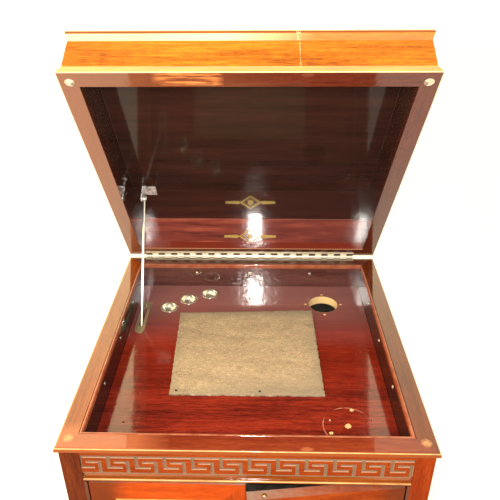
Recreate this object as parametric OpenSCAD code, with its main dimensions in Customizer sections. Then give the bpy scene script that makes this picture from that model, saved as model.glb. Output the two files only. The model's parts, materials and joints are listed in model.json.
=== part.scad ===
// Floor-standing cabinet gramophone, lid open, motor, turntable and tone arm taken out.
// Millimetres. The front faces -Y, +Z is up, and the origin is on the floor under the
// middle of the cabinet. The lid stands open on its stay and the right door is ajar.

/* [Cabinet] */
// Width over the top rim
rim_w = 500; // [450:1:600]
// Depth over the top rim, front to back
rim_d = 508; // [460:1:610]
// Height of the top rim above the floor
rim_h = 1000; // [900:5:1200]
// Thickness of the rim rails
rim_t = 8; // [6:0.5:12]
// Width of the flat rim rails
rim_band = 26; // [22:1:34]
// Width of the bead between the rim and the well
bead_w = 4.7; // [3:0.1:7]
// Overhang of the rim past the sides
side_lap = 4.6; // [2:0.2:8]
// Overhang of the rim past the front and back
front_lap = 3; // [1:0.5:6]
// Thickness of the side panels
panel_t = 12; // [9:0.5:14]
// Thickness of the back panel
back_t = 8; // [5:0.5:10]
// Height of the carcase bottom above the floor
leg_h = 60; // [40:5:90]
// Width of a leg where it meets its glide
foot_w = 19; // [14:1:24]
// Thickness of the shelf and the bottom board
shelf_t = 12; // [9:1:18]
// Height of the shelf between the sound chamber and the record space
shelf_z = 528; // [440:5:560]

/* [Well and motor board] */
// Depth from the rim down to the motor board
well_depth = 50; // [40:1:70]
// Thickness of the motor board
board_t = 16; // [12:1:22]
// Thickness of the boards that line the well
liner_t = 12; // [9:0.5:14]
// Width of the battens under the motor board
bearer_w = 12; // [8:1:12]
// Height of the battens under the motor board
bearer_h = 18; // [12:1:24]
// Diameter of the hole for the tone arm base
tone_hole_d = 55; // [45:0.5:66]
// Distance from the edge of the tone arm hole to its screws
tone_screw_in = 6.5; // [5:0.5:9]
// Diameter of the hole for the speed control spindle
speed_hole_d = 8; // [5:0.5:14]
// Diameter of the motor spindle hole, under the blanking sheet
spindle_hole_d = 28; // [16:1:60]
// Diameter over the flange of a needle cup
cup_d = 35; // [29:0.5:42]
// Depth of a needle cup
cup_depth = 12; // [8:0.5:14]
// Width of the blanking sheet
sheet_w = 247.6; // [220:1:260]
// Depth of the blanking sheet, front to back
sheet_d = 228.2; // [200:1:240]
// Thickness of the blanking sheet
sheet_t = 3; // [2:0.5:6]

/* [Fret] */
// Height of the fret band under the rim
fret_h = 36; // [32:1:40]
// Distance from one key to the next
key_pitch = 37.3; // [35:0.1:42]
// Width of the fret grooves
key_bar = 5; // [4:0.1:6]
// Depth of the fret grooves
key_depth = 2.5; // [1:0.1:4]

/* [Doors] */
// Thickness of the doors
door_t = 14; // [12:0.5:18]
// Gap between the two closed doors
door_gap = 1.6; // [1:0.1:3]
// Gap above, below and beside the doors
door_fit = 2; // [1.5:0.1:3]
// Width of the cock bead beside each door
cock_w = 4.3; // [3:0.1:6]
// Width of the outer stile
stile_w = 35; // [28:1:45]
// Width of the stile where the doors meet
meeting_w = 14; // [12:0.5:30]
// Height of the top rail
top_rail_h = 33; // [26:1:45]
// Height of the bottom rail
bottom_rail_h = 45; // [30:1:70]
// Angle at which the right door stands ajar
right_ajar = 6.7; // [0:0.1:20]

/* [Lid] */
// Height from the lid's lower edge to its top
lid_h = 80; // [74:1:110]
// Height from the lid's lower edge to its ceiling
lid_ceiling = 70; // [66:1:100]
// Height of the moulded edge round the mouth of the lid
lid_foot_h = 15.5; // [12:0.5:20]
// Inset of the lid's flat sides from its moulded edge
lid_inset = 5; // [4:0.5:7]
// Gap between lid and rim when the lid is shut
lid_gap = 6.6; // [5.6:0.1:9]
// Angle of the open lid from shut
lid_open = 56.5; // [40:0.5:60]

/* [Hardware] */
// Width of each leaf of the piano hinge
hinge_leaf_w = 12; // [9:0.5:16]
// Number of knuckles on the piano hinge
hinge_knuckles = 33; // [21:2:35]
// Length of one knuckle of the piano hinge
knuckle_l = 12.85; // [11:0.05:13]
// Diameter of the stay rod
rod_d = 4.5; // [3:0.1:5.5]
// How far the stay rod reaches into the motor board when the lid is open
rod_reach = 4.4; // [3:0.1:10]
// Distance of the stay rod from the well's side wall
stay_gap = 17.8; // [16:0.1:24]
// Diameter of the winding handle hole
crank_hole_d = 14; // [10:0.5:16]

/* [Hidden] */
$fn = 64;
SKIN = 0.1;                                   // how far a cut runs past a face
PIN_PLAY = 0.06;                              // radial clearance of a pin in its bore
FACE_PLAY = 0.1;                              // gap between neighbouring hinge knuckles

wall_in = rim_band + bead_w;                  // from the rim's edge to the well's wall
well_x = rim_w / 2 - wall_in;                 // half the well's width
well_y = rim_d / 2 - wall_in;                 // half the well's depth
body_x = rim_w / 2 - side_lap;                // half the carcase's width
body_y = rim_d / 2 - front_lap;               // half the carcase's depth
liner_x = well_x + liner_t;
liner_y = well_y + liner_t;
under_rim = rim_h - rim_t;
board_top = rim_h - well_depth;
board_low = board_top - board_t;
liner_low = board_low - bearer_h;

// Frieze, from the rim down: plain fascia, fret, cove and bead
fascia_h = 15.5;                              // from the rim's top to the fret
fret_top = rim_h - fascia_h;
frieze_low = fret_top - fret_h;
bead_drop = 13;                               // height of the cove and bead under the fret
bead_low = frieze_low - bead_drop;
frieze_set = 0.8;                             // how far the frieze sits behind the posts
frieze_face = -body_y + frieze_set;

// Doors
door_top = bead_low - door_fit + 0.5;
apron_top = leg_h + 45;
door_low = apron_top + door_fit;
door_out = well_x - cock_w - door_fit;        // outer edge of a closed door
door_in = door_gap / 2;                       // meeting edge of a closed door
pivot_x = well_x - cock_w - door_fit / 2;
pivot_y = -body_y - 2.8;
butt_r = 2.5;                                 // knuckle of a butt hinge
butt_pin_r = 1.1;
butt_h = 50;
butt_leaf_t = door_fit / 2 - FACE_PLAY;
butt_z = [door_low + 75, (door_low + door_top) / 2, door_top - 75];
panel_lip = 6;                                // how far a door panel enters its frame
panel_play = 0.3;
panel_board_t = 6;

// Bullet catch let into the top edge of the right door
catch_at = [24.2, -body_y + 6];
catch_r = 3.6;
catch_depth = 11;
bullet_r = 2.4;
bullet_out = 1.1;

// Lid, drawn shut and then turned about the hinge pin
hinge_y = rim_d / 2 - 0.5;
hinge_z = rim_h + lid_gap / 2;
hinge_x = -3.8;                               // the hinge sits a little left of the middle
leaf_t = 1;
piano_r = lid_gap / 2 - 0.5;
piano_pin_r = 1.2;
notch_d = 5;                                  // cut-outs beyond the knuckles
lid_z = rim_h + lid_gap;

// Stay: pivot under the lid's ceiling, slotted plate on the motor board
pivot_back = 136;                             // from the hinge line to the pivot
pivot_up = 48.6;                              // from the lid's mouth to the pivot
stay_x = well_x - stay_gap;
stay_y = hinge_y - pivot_back;
stay_z = lid_z + pivot_up;
rod_lean = 33.66;                             // lean of the rod from upright when the lid is open
stay_pin_r = 2;
stay_arm = lid_gap / 2 + pivot_up;            // height of the pivot over the hinge line, lid shut
open_y = hinge_y - pivot_back * cos(lid_open) + stay_arm * sin(lid_open);
open_z = hinge_z + pivot_back * sin(lid_open) + stay_arm * cos(lid_open);
rod_l = (open_z - board_top + rod_reach) / cos(rod_lean);
tip_y = open_y - rod_l * sin(rod_lean);       // where the rod's tip stands with the lid open
slot_y = [tip_y - rod_d / 2 - 5.4, stay_y + 19.5];
slot_w = rod_d + 2.5;
plate_w = 18;
plate_t = 1.5;
plate_y = [slot_y[0] - 20, slot_y[1] + 22];
plate_screws = [plate_y[1] - 7, plate_y[1] - 17];

// Motor board fittings
tone_pcd = tone_hole_d + 2 * tone_screw_in;
tone_at = [well_x - 77.8, well_y - 65.3];
speed_at = [well_x - 71.3, -well_y + 64.8];
speed_screws = [[9.7, 32.5], [-26.3, -14], [35.9, 11.5]];
spindle_at = [-4, 16];
cups = [[-well_x + 62.5, well_y - 80.3], [-well_x + 96.8, well_y - 52.3], [-well_x + 137.3, well_y - 31.7]];
cup_body_r = cup_d / 2 - 2.8;
cup_flange_t = 2;
sheet_at = [-4.6, 14.9];
sheet_skew = [[-4.4, -6], [-1.2, 6], [1.2, 0.5], [4.4, -0.4]];   // the sheet was cut by hand
sheet_sign = [[-1, 1], [1, 1], [1, -1], [-1, -1]];
nails = [[-109, -106], [23, -106]];
spare_holes = [[-183.6, -156.6], [-3.5, 174.6]];
screw_y = [well_y - 330.3, well_y - 216.3, well_y - 105.3];
screw_x = [-109, -2, 119];
screw_drop = 20;
screw_l = 10;

// Sound chamber
baffle_t = 10;
baffle_y = -body_y + door_t + 1;
mouth_x = well_x - 44.3;
mouth_z = [shelf_z + shelf_t + 35, shelf_z + shelf_t + 230];
horn_t = 8;
elbow_wall = 3;
elbow_r = tone_hole_d / 2 + 1;                // the elbow is a little wider than its hole
elbow_bend = 45;
throat_y = tone_at[1] - elbow_bend;
throat_z = shelf_z + shelf_t + 150;
winding_at = [16, liner_low - 46];
record_bays = 5;
divider_x = [for (i = [1 : record_bays - 1]) -well_x + i * 2 * well_x / record_bays];
divider_t = 6;
divider_h = 330;
glide_h = 6;

// ---- helpers ----

// A box between two corners, given as [low, high] along each axis
module block(x, y, z) {
    translate([x[0], y[0], z[0]])
        cube([x[1] - x[0], y[1] - y[0], z[1] - z[0]]);
}

// Copies on both sides of the middle
module both_sides() {
    children();
    mirror([1, 0, 0]) children();
}

// One of four mitred runs round a frame w by d. Side 0 is the front, then right, back, left.
// The outline's x is the inset from the frame's edge and its y is the height.
module run(side, w, d) {
    along = side % 2 == 0 ? w : d;
    across = side % 2 == 0 ? d : w;
    deep = 60;
    rotate([0, 0, 90 * side])
        translate([0, -across / 2, 0])
            intersection() {
                translate([-along / 2, 0, 0])
                    rotate([90, 0, 90]) linear_extrude(along) children();
                translate([0, 0, -deep])
                    linear_extrude(deep + lid_h + 1)
                        polygon([[-along / 2 - 1, -1], [along / 2 + 1, -1],
                            [along / 2 - deep, deep], [-along / 2 + deep, deep]]);
            }
}

// Outline of an edge with its two outer arrises rounded, top at height 0
module rounded_edge(depth, h, r_top, r_low) {
    translate([r_top, -r_top]) circle(r_top);
    translate([r_low, -h + r_low]) circle(r_low);
    translate([r_top, -r_top]) square([depth - r_top, r_top]);
    translate([r_low, -h]) square([depth - r_low, r_low]);
    translate([0, -h + r_low]) square([depth, h - r_top - r_low]);
}

// A bar along x with its centre at y, z
module x_rod(x, y, z, r) {
    translate([x[0], y, z]) rotate([0, 90, 0]) cylinder(h = x[1] - x[0], r = r);
}

// Turns the shut lid to where it stands
module on_lid() {
    translate([0, hinge_y, hinge_z])
        rotate([-lid_open, 0, 0])
            translate([0, -hinge_y, -hinge_z]) children();
}

// Turns the right door to where it stands ajar
module on_right_door() {
    translate([pivot_x, pivot_y, 0])
        rotate([0, 0, right_ajar])
            translate([-pivot_x, -pivot_y, 0]) children();
}

// ---- carcase ----

// Outline of a post seen from one side: straight, with the leg's inner face tapering
module post_outline(inner, outer) {
    polygon([[inner, under_rim], [outer, under_rim], [outer, glide_h],
        [outer - foot_w, glide_h], [inner, leg_h]]);
}

module post() {
    color("sienna")
        intersection() {
            translate([0, body_y + 1, 0])
                rotate([90, 0, 0]) linear_extrude(body_y + 1) post_outline(well_x, body_x);
            rotate([90, 0, 90]) linear_extrude(body_x + 1) post_outline(well_y, body_y);
        }
}

module post_front_right() {
    mirror([0, 1, 0]) post();
}

module post_front_left() {
    mirror([1, 0, 0]) post_front_right();
}

module back_posts() {
    both_sides() post();
}

module rim_rail(side) {
    color("chocolate")
        translate([0, 0, rim_h])
            run(side, rim_w, rim_d) rounded_edge(rim_band, rim_t, 3, 2);
}

module well_bead() {
    bead_r = bead_w / 2;
    color("saddlebrown")
        for (side = [0:3])
            translate([0, 0, rim_h])
                run(side, rim_w, rim_d) {
                    translate([rim_band + bead_r, -bead_r]) circle(bead_r);
                    translate([rim_band, -rim_t]) square([bead_w, rim_t - bead_r]);
                }
}

module well_liner_front() {
    color("maroon")
        block([-well_x, well_x], [-liner_y, -well_y], [liner_low, under_rim]);
}

module well_liner_back() {
    color("maroon")
        difference() {
            block([-well_x, well_x], [well_y, liner_y], [liner_low, under_rim]);
            for (x = screw_x)
                translate([x, well_y, rim_h - screw_drop])
                    rotate([-90, 0, 0]) liner_screw_hole();
        }
}

module well_liner_sides() {
    color("maroon")
        both_sides()
            difference() {
                block([well_x, liner_x], [-well_y, well_y], [liner_low, under_rim]);
                for (y = screw_y)
                    translate([well_x, y, rim_h - screw_drop])
                        rotate([0, 90, 0]) liner_screw_hole();
            }
}

module liner_screw_hole() {
    translate([0, 0, -SKIN]) cylinder(h = screw_l + SKIN, r = 1.7);
}

// A screw whose shank runs along +Z from the face it sits on
module round_head_screw(shank) {
    head_r = 3.2;
    color("lightgray") {
        translate([0, 0, -1.4])
            intersection() {
                cylinder(h = 1.4, r = head_r);
                translate([0, 0, 3.9]) sphere(4.4);
            }
        cylinder(h = shank, r = 1.5);
    }
}

module round_head_screws() {
    both_sides()
        for (y = screw_y)
            translate([well_x, y, rim_h - screw_drop])
                rotate([0, 90, 0]) round_head_screw(screw_l - 1);
    for (x = screw_x)
        translate([x, well_y, rim_h - screw_drop])
            rotate([-90, 0, 0]) round_head_screw(screw_l - 1);
    for (y = plate_screws)
        translate([-stay_x, y, board_top + plate_t])
            rotate([180, 0, 0]) round_head_screw(screw_l);
}

// Key grooves: two interlocking hooks a pitch, cut short where the band ends
module key_grooves() {
    y = [frieze_face - SKIN, frieze_face + key_depth];
    top = fret_top - key_bar;
    low = frieze_low + key_bar;
    first = -ceil((well_x + key_pitch / 2) / key_pitch);
    start = 2.2;                              // where a key begins, right of the middle
    stem_h = 24.5;                            // from the fret's top to a stem's foot
    foot_l = 21;
    arm = [9.5, 30.5];                        // the second hook's arm, from the stem's left edge
    arm_drop = 9.5;                           // from the fret's top to that arm
    block([-well_x - 1, well_x + 1], y, [top, fret_top]);
    block([-well_x - 1, well_x + 1], y, [frieze_low, low]);
    for (k = [first : -first]) {
        x = start + k * key_pitch;
        if (x < well_x && x + arm[1] > -well_x) {
            block([x, x + key_bar], y, [fret_top - stem_h, top + SKIN]);
            block([x, x + foot_l], y, [fret_top - stem_h, fret_top - stem_h + key_bar]);
            block(x * [1, 1] + arm, y, [fret_top - arm_drop - key_bar, fret_top - arm_drop]);
            block([x + arm[1] - key_bar, x + arm[1]], y, [low - SKIN, fret_top - arm_drop]);
        }
    }
}

module frieze_board() {
    color("orangered")
        difference() {
            block([-well_x, well_x], [frieze_face, -liner_y], [frieze_low, under_rim]);
            key_grooves();
        }
}

module frieze_moulding() {
    bead_r = 2.6;
    color("coral")
        translate([-well_x, 0, 0])
            rotate([90, 0, 90])
                linear_extrude(2 * well_x) {
                    translate([frieze_face + 3, bead_low])
                        square([-liner_y - frieze_face - 3, bead_drop]);
                    translate([frieze_face - 0.8 + bead_r, bead_low + bead_r]) circle(bead_r);
                    translate([frieze_face - 0.8 + bead_r, bead_low]) square([3, 2 * bead_r]);
                }
}

module side_panel() {
    block([liner_x, liner_x + panel_t], [-well_y, well_y], [leg_h, under_rim]);
}

module side_panel_left() {
    color("peru") mirror([1, 0, 0]) side_panel();
}

module side_panel_right() {
    color("peru")
        difference() {
            side_panel();
            x_rod([liner_x - 1, liner_x + panel_t + 1], winding_at[0], winding_at[1],
                crank_hole_d / 2 + 2.6);
        }
}

module back_panel() {
    color("tan") block([-well_x, well_x], [body_y - back_t, body_y], [leg_h, bead_low]);
}

module back_top_rail() {
    color("peru") block([-well_x, well_x], [liner_y, body_y], [bead_low, under_rim]);
}

// A board between the side panels that also reaches between the posts, front and back
module cabinet_board(front, z) {
    block([-liner_x, liner_x], [-well_y, well_y], z);
    block([-well_x, well_x], [front, body_y - back_t], z);
}

module bottom_board() {
    color("burlywood") cabinet_board(-body_y + panel_t, [apron_top - shelf_t, apron_top]);
}

module centre_shelf() {
    color("burlywood") cabinet_board(baffle_y, [shelf_z, shelf_z + shelf_t]);
}

// Apron between the front legs, with a shallow arch cut from its lower edge
module front_apron() {
    rise = 22;
    half = well_x - 45;
    arch_r = (half * half + rise * rise) / (2 * rise);
    color("chocolate")
        difference() {
            block([-well_x, well_x], [-body_y, -body_y + panel_t], [leg_h, apron_top]);
            translate([0, -body_y - 1, leg_h + rise - arch_r])
                rotate([-90, 0, 0]) cylinder(h = panel_t + 2, r = arch_r, $fn = 180);
        }
}

module cock_beads() {
    color("brown")
        both_sides()
            block([well_x - cock_w, well_x], [-body_y, -body_y + door_t], [apron_top, bead_low]);
}

module glides() {
    rim_r = foot_w / 2 - 0.5;
    color("silver")
        both_sides()
            for (s = [-1, 1])
                translate([body_x - foot_w / 2, s * (body_y - foot_w / 2), 0])
                    rotate_extrude()
                        intersection() {
                            square([rim_r, glide_h]);
                            translate([0, 16]) circle(17);
                        }
}

// ---- sound chamber and record space ----

module sound_front_board() {
    color("dimgray")
        difference() {
            block([-well_x, well_x], [baffle_y, baffle_y + baffle_t],
                [shelf_z + shelf_t, liner_low - 1]);
            block([-mouth_x, mouth_x], [baffle_y - 1, baffle_y + baffle_t + 1], mouth_z);
        }
}

// Rectangular flare from the elbow to the mouth, grown all round by t
module flare(t, over) {
    r = tone_hole_d / 2 + t;
    hull() {
        block([-mouth_x - t, mouth_x + t],
            [baffle_y + baffle_t - over, baffle_y + baffle_t + 1], [mouth_z[0] - t, mouth_z[1] + t]);
        block([tone_at[0] - r, tone_at[0] + r], [throat_y - 1, throat_y + over],
            [throat_z - r, throat_z + r]);
    }
}

module horn_body() {
    color("sandybrown")
        difference() {
            flare(horn_t, 0);
            flare(0, SKIN);
        }
}

module horn_elbow() {
    r = elbow_r;
    top = throat_z + elbow_bend;
    color("darkslategray")
        translate([tone_at[0], tone_at[1], 0]) {
            translate([0, 0, top])
                rotate_extrude()
                    translate([r, 0]) square([elbow_wall, board_low - top]);
            translate([0, 0, board_low - 4]) elbow_flange(r);
            translate([0, -elbow_bend, top])
                rotate([0, 90, 0])
                    rotate_extrude(angle = 90)
                        translate([elbow_bend, 0])
                            difference() {
                                circle(r + elbow_wall);
                                circle(r);
                            }
        }
}

module elbow_flange(r) {
    difference() {
        cylinder(h = 4, r = tone_pcd / 2 + 7);
        translate([0, 0, -1]) cylinder(h = 6, r = r);
        tone_screw_holes(-1, 5);
    }
}

module tone_screw_holes(low, top) {
    for (a = [0, 90, 180, 270])
        rotate([0, 0, a])
            translate([tone_pcd / 2, 0, low]) cylinder(h = top - low, r = 1.6);
}

// Upright partitions with a scooped front corner, so the record sleeves can be gripped
module record_dividers() {
    scoop = 110;
    front = -body_y + door_t + 22;
    z = [apron_top, apron_top + divider_h];
    color("rosybrown")
        for (x = divider_x)
            difference() {
                block([x - divider_t / 2, x + divider_t / 2], [front, body_y - back_t], z);
                x_rod([x - divider_t, x + divider_t], front, z[1], scoop);
            }
}

// ---- motor board ----

module stay_slot(w, z) {
    translate([-stay_x, slot_y[0] + w / 2, z[0]]) cylinder(h = z[1] - z[0], r = w / 2);
    translate([-stay_x, slot_y[1] - w / 2, z[0]]) cylinder(h = z[1] - z[0], r = w / 2);
    block([-stay_x - w / 2, -stay_x + w / 2], [slot_y[0] + w / 2, slot_y[1] - w / 2], z);
}

module board_hole(at, r) {
    translate([at[0], at[1], board_low - 1]) cylinder(h = board_t + 2, r = r);
}

module motor_board() {
    fit = 0.5;
    color("firebrick")
        difference() {
            block([-well_x + fit, well_x - fit], [-well_y + fit, well_y - fit], [board_low, board_top]);
            board_hole(tone_at, tone_hole_d / 2);
            translate([tone_at[0], tone_at[1], 0]) tone_screw_holes(board_low - 1, board_top + 1);
            board_hole(speed_at, speed_hole_d / 2);
            for (s = speed_screws)
                board_hole(speed_at + s, 1.6);
            board_hole(spindle_at, spindle_hole_d / 2);
            for (c = cups)
                board_hole(c, cup_body_r + 0.3);
            for (h = spare_holes)
                board_hole(h, 1.6);
            for (y = plate_screws)
                board_hole([-stay_x, y], 1.7);
            stay_slot(slot_w + 1.6, [board_low - 1, board_top + 1]);
        }
}

module board_bearers() {
    z = [liner_low, board_low];
    color("burlywood") {
        both_sides() block([well_x - bearer_w, well_x], [-well_y, well_y], z);
        for (y = [[-well_y, -well_y + bearer_w], [well_y - bearer_w, well_y]])
            block([-well_x + bearer_w, well_x - bearer_w], y, z);
    }
}

module blanking_sheet() {
    corners = [for (i = [0:3]) [sheet_sign[i][0] * sheet_w / 2 + sheet_skew[i][0],
        sheet_sign[i][1] * sheet_d / 2 + sheet_skew[i][1]]];
    color("tan")
        translate([sheet_at[0], sheet_at[1], board_top])
            difference() {
                linear_extrude(sheet_t) polygon(corners);
                for (n = nails)
                    translate([n[0], n[1], sheet_t / 4]) cylinder(h = sheet_t, r = 0.95);
            }
}

module sheet_nails() {
    color("gray")
        for (n = nails)
            translate([sheet_at[0] + n[0], sheet_at[1] + n[1], board_top + sheet_t / 2]) {
                cylinder(h = sheet_t / 2, r = 0.9);
                translate([0, 0, sheet_t / 2]) cylinder(h = 0.6, r = 1.9);
            }
}

// Spun cup with a rolled flange, let into the motor board
module needle_cup(at) {
    lip_r = 1;
    open_r = cup_body_r - 1;
    bowl_r = (open_r * open_r + cup_depth * cup_depth) / (2 * cup_depth);
    color("silver")
        translate([at[0], at[1], board_top])
            rotate_extrude()
                difference() {
                    union() {
                        square([cup_d / 2 - lip_r, cup_flange_t]);
                        translate([cup_d / 2 - lip_r, lip_r]) circle(lip_r);
                        translate([0, cup_flange_t - cup_depth - 1])
                            square([cup_body_r, cup_depth]);
                    }
                    translate([0, cup_flange_t - cup_depth + bowl_r]) circle(bowl_r);
                    translate([-cup_d, -cup_d]) square([cup_d, 2 * cup_d]);
                }
}

module stay_guide_plate() {
    color("silver")
        difference() {
            union() {
                block([-stay_x - plate_w / 2, -stay_x + plate_w / 2],
                    [plate_y[0] + plate_w / 2, plate_y[1]], [board_top, board_top + plate_t]);
                translate([-stay_x, plate_y[0] + plate_w / 2, board_top])
                    cylinder(h = plate_t, r = plate_w / 2);
            }
            stay_slot(slot_w, [board_top - 1, board_top + plate_t + 1]);
            for (y = plate_screws)
                translate([-stay_x, y, board_top - 1]) cylinder(h = plate_t + 2, r = 1.7);
        }
}

module winding_escutcheon() {
    r = crank_hole_d / 2;
    x = liner_x + panel_t;
    color("silver")
        difference() {
            union() {
                x_rod([x, x + 2.2], winding_at[0], winding_at[1], r + 11);
                x_rod([liner_x - 2, x + SKIN], winding_at[0], winding_at[1], r + 2.5);
            }
            x_rod([liner_x - 3, x + 4], winding_at[0], winding_at[1], r);
        }
}

// ---- piano hinge ----

// Every second knuckle from first, along x; play widens or shortens them
module piano_knuckles(first, r, play) {
    start = hinge_x - hinge_knuckles * knuckle_l / 2;
    for (i = [first : 2 : hinge_knuckles - 1])
        x_rod([start + i * knuckle_l + FACE_PLAY - play, start + (i + 1) * knuckle_l - FACE_PLAY + play],
            hinge_y, hinge_z, r);
}

// Cut-outs in a leaf's edge for the other leaf's knuckles
module piano_notches(first) {
    start = hinge_x - hinge_knuckles * knuckle_l / 2;
    for (i = [first : 2 : hinge_knuckles - 1])
        block([start + i * knuckle_l - FACE_PLAY, start + (i + 1) * knuckle_l + FACE_PLAY],
            [hinge_y - piano_r - notch_d, hinge_y + 1], [rim_h - 1, rim_h + leaf_t + 1]);
}

// A leaf lies on the rim, and the other is the same turned over
module piano_leaf(first) {
    half = hinge_knuckles * knuckle_l / 2;
    difference() {
        union() {
            difference() {
                block([hinge_x - half, hinge_x + half], [hinge_y - hinge_leaf_w, hinge_y],
                    [rim_h, rim_h + leaf_t]);
                piano_notches(1 - first);
            }
            piano_knuckles(first, piano_r, 0);
        }
        x_rod([hinge_x - half - 1, hinge_x + half + 1], hinge_y, hinge_z, piano_pin_r + PIN_PLAY);
    }
}

module hinge_cabinet_leaf() {
    color("silver") piano_leaf(0);
}

module hinge_lid_leaf() {
    color("silver")
        on_lid()
            translate([0, 0, 2 * hinge_z]) mirror([0, 0, 1]) piano_leaf(1);
}

module hinge_pin() {
    half = hinge_knuckles * knuckle_l / 2;
    color("gray")
        x_rod([hinge_x - half, hinge_x + half], hinge_y, hinge_z, piano_pin_r);
}

// ---- lid ----

// Mouth of the lid: a flat band with a sharp lower edge, splayed back to the boards
module lid_foot_outline() {
    lip = 0.3;
    flat = 1;
    polygon([[lip, 0], [rim_band, 0], [rim_band, lid_foot_h], [lid_inset, lid_foot_h], [lip, flat]]);
}

module lid_rim_frame() {
    color("chocolate")
        on_lid()
            translate([0, 0, lid_z])
                for (side = [0:3])
                    run(side, rim_w, rim_d) lid_foot_outline();
}

module lid_board(side) {
    translate([0, 0, lid_z])
        run(side, rim_w, rim_d)
            translate([lid_inset, lid_foot_h])
                square([rim_band - lid_inset, lid_ceiling - lid_foot_h]);
}

module lid_front_board() {
    color("chocolate") on_lid() lid_board(0);
}

module lid_back_board() {
    color("chocolate") on_lid() lid_board(2);
}

module lid_side_boards() {
    color("chocolate")
        on_lid()
            for (side = [1, 3])
                lid_board(side);
}

// Crown: a cove under a square edge, topped by a rounded shoulder
module crown_outline() {
    lip = 0.8;
    fall = 9;                                 // how far the cove starts under the ceiling
    cove_h = 12;
    reach = lid_inset - lip;
    r = (reach * reach + cove_h * cove_h) / (2 * reach);
    width = 15;
    difference() {
        union() {
            translate([lip, lid_ceiling - fall]) square([reach, cove_h]);
            translate([lip, lid_h]) rounded_edge(width, lid_h - lid_ceiling, 3.5, 0.5);
            translate([lip, lid_ceiling]) square([width, 2]);
        }
        translate([lid_inset - r, lid_ceiling - fall]) circle(r, $fn = 128);
    }
}

module lid_crown_moulding() {
    color("coral")
        on_lid()
            translate([0, 0, lid_z])
                for (side = [0:3])
                    run(side, rim_w, rim_d) crown_outline();
}

module lid_top_panel() {
    edge = 15.8;
    color("chocolate")
        on_lid()
            block([-rim_w / 2 + edge, rim_w / 2 - edge], [-rim_d / 2 + edge, rim_d / 2 - edge],
                [lid_z + lid_ceiling, lid_z + lid_h]);
}

// Low domed ferrules of the lid's buffers
module lid_bumpers() {
    r = 6.8;
    rise = 2.6;
    ball = (r * r + rise * rise) / (2 * rise);
    color("silver")
        on_lid()
            both_sides()
                translate([rim_w / 2 - 15, -rim_d / 2 + 18.5, lid_z])
                    mirror([0, 0, 1])
                        rotate_extrude()
                            intersection() {
                                translate([0, rise - ball]) circle(ball, $fn = 128);
                                square([r, rise]);
                            }
}

// Plate under the lid's ceiling with an ear that carries the stay's pivot pin
module stay_bracket() {
    ceiling = lid_z + lid_ceiling;
    ear = [-stay_x - 6, -stay_x - 4];
    color("silver")
        on_lid() {
            block([-stay_x - 6, -stay_x + 20], [stay_y - 8, stay_y + 18], [ceiling - 1.5, ceiling]);
            block(ear, [stay_y - 6, stay_y + 6], [stay_z, ceiling - 1]);
            x_rod(ear, stay_y, stay_z, 6);
            x_rod([-stay_x - 5, -stay_x + 2.6], stay_y, stay_z, stay_pin_r);
            x_rod([-stay_x + 2.2, -stay_x + 3.6], stay_y, stay_z, stay_pin_r + 1.5);
        }
}

// Rod with a flat eye at the pivot and a plain collar near its tip
module stay_rod() {
    eye_t = 3.4;
    color("gainsboro")
        on_lid()
            translate([-stay_x, stay_y, stay_z])
                rotate([lid_open - rod_lean, 0, 0])
                    difference() {
                        union() {
                            translate([-eye_t / 2, 0, 0])
                                rotate([0, 90, 0]) cylinder(h = eye_t, r = 5.5);
                            translate([0, 0, -rod_l]) cylinder(h = rod_l - 4.5, r = rod_d / 2);
                        }
                        translate([-eye_t, 0, 0])
                            rotate([0, 90, 0]) cylinder(h = 2 * eye_t, r = stay_pin_r + PIN_PLAY);
                    }
}

// ---- doors ----

// One of four mitred members of a door frame, drawn as its outline in x and z
module door_member(outer, inner) {
    translate([0, -body_y + door_t, 0])
        rotate([90, 0, 0]) linear_extrude(door_t) polygon([outer[0], outer[1], inner[1], inner[0]]);
}

module door_frame() {
    o = [[door_in, door_low], [door_out, door_low], [door_out, door_top], [door_in, door_top]];
    x = [door_in + meeting_w, door_out - stile_w];
    z = [door_low + bottom_rail_h, door_top - top_rail_h];
    i = [[x[0], z[0]], [x[1], z[0]], [x[1], z[1]], [x[0], z[1]]];
    color("orangered")
        difference() {
            for (k = [0:3])
                door_member([o[k], o[(k + 1) % 4]], [i[k], i[(k + 1) % 4]]);
            block([x[0] - panel_lip, x[1] + panel_lip], panel_seat(), [z[0] - panel_lip, z[1] + panel_lip]);
        }
}

module right_door_frame() {
    on_right_door()
        difference() {
            door_frame();
            catch_bore();
        }
}

function panel_seat() = [-body_y + 6, -body_y + door_t + 1];

module door_panel() {
    lip = panel_lip - panel_play;
    color("orange")
        block([door_in + meeting_w - lip, door_out - stile_w + lip],
            [panel_seat()[0], panel_seat()[0] + panel_board_t],
            [door_low + bottom_rail_h - lip, door_top - top_rail_h + lip]);
}

// Butt hinges: each has three knuckles, and the middle one belongs to the door
module butt_knuckles(z, r, moving, play) {
    third = butt_h / 3;
    for (i = moving ? [1] : [0, 2])
        translate([pivot_x, pivot_y, z - butt_h / 2 + i * third + FACE_PLAY - play])
            cylinder(h = third - 2 * FACE_PLAY + 2 * play, r = r);
}

module butt_leaf(z, x, moving) {
    difference() {
        block(x, [pivot_y, -body_y + 11], [z - butt_h / 2, z + butt_h / 2]);
        butt_knuckles(z, butt_r + 0.3, !moving, 2 * FACE_PLAY);
    }
    butt_knuckles(z, butt_r, moving, 0);
}

module fixed_leaves() {
    for (z = butt_z) {
        difference() {
            butt_leaf(z, [pivot_x + FACE_PLAY, pivot_x + FACE_PLAY + butt_leaf_t], false);
            translate([pivot_x, pivot_y, z - butt_h])
                cylinder(h = 2 * butt_h, r = butt_pin_r);
        }
        translate([pivot_x, pivot_y, z - butt_h / 2])
            cylinder(h = butt_h, r = butt_pin_r);
    }
}

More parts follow.
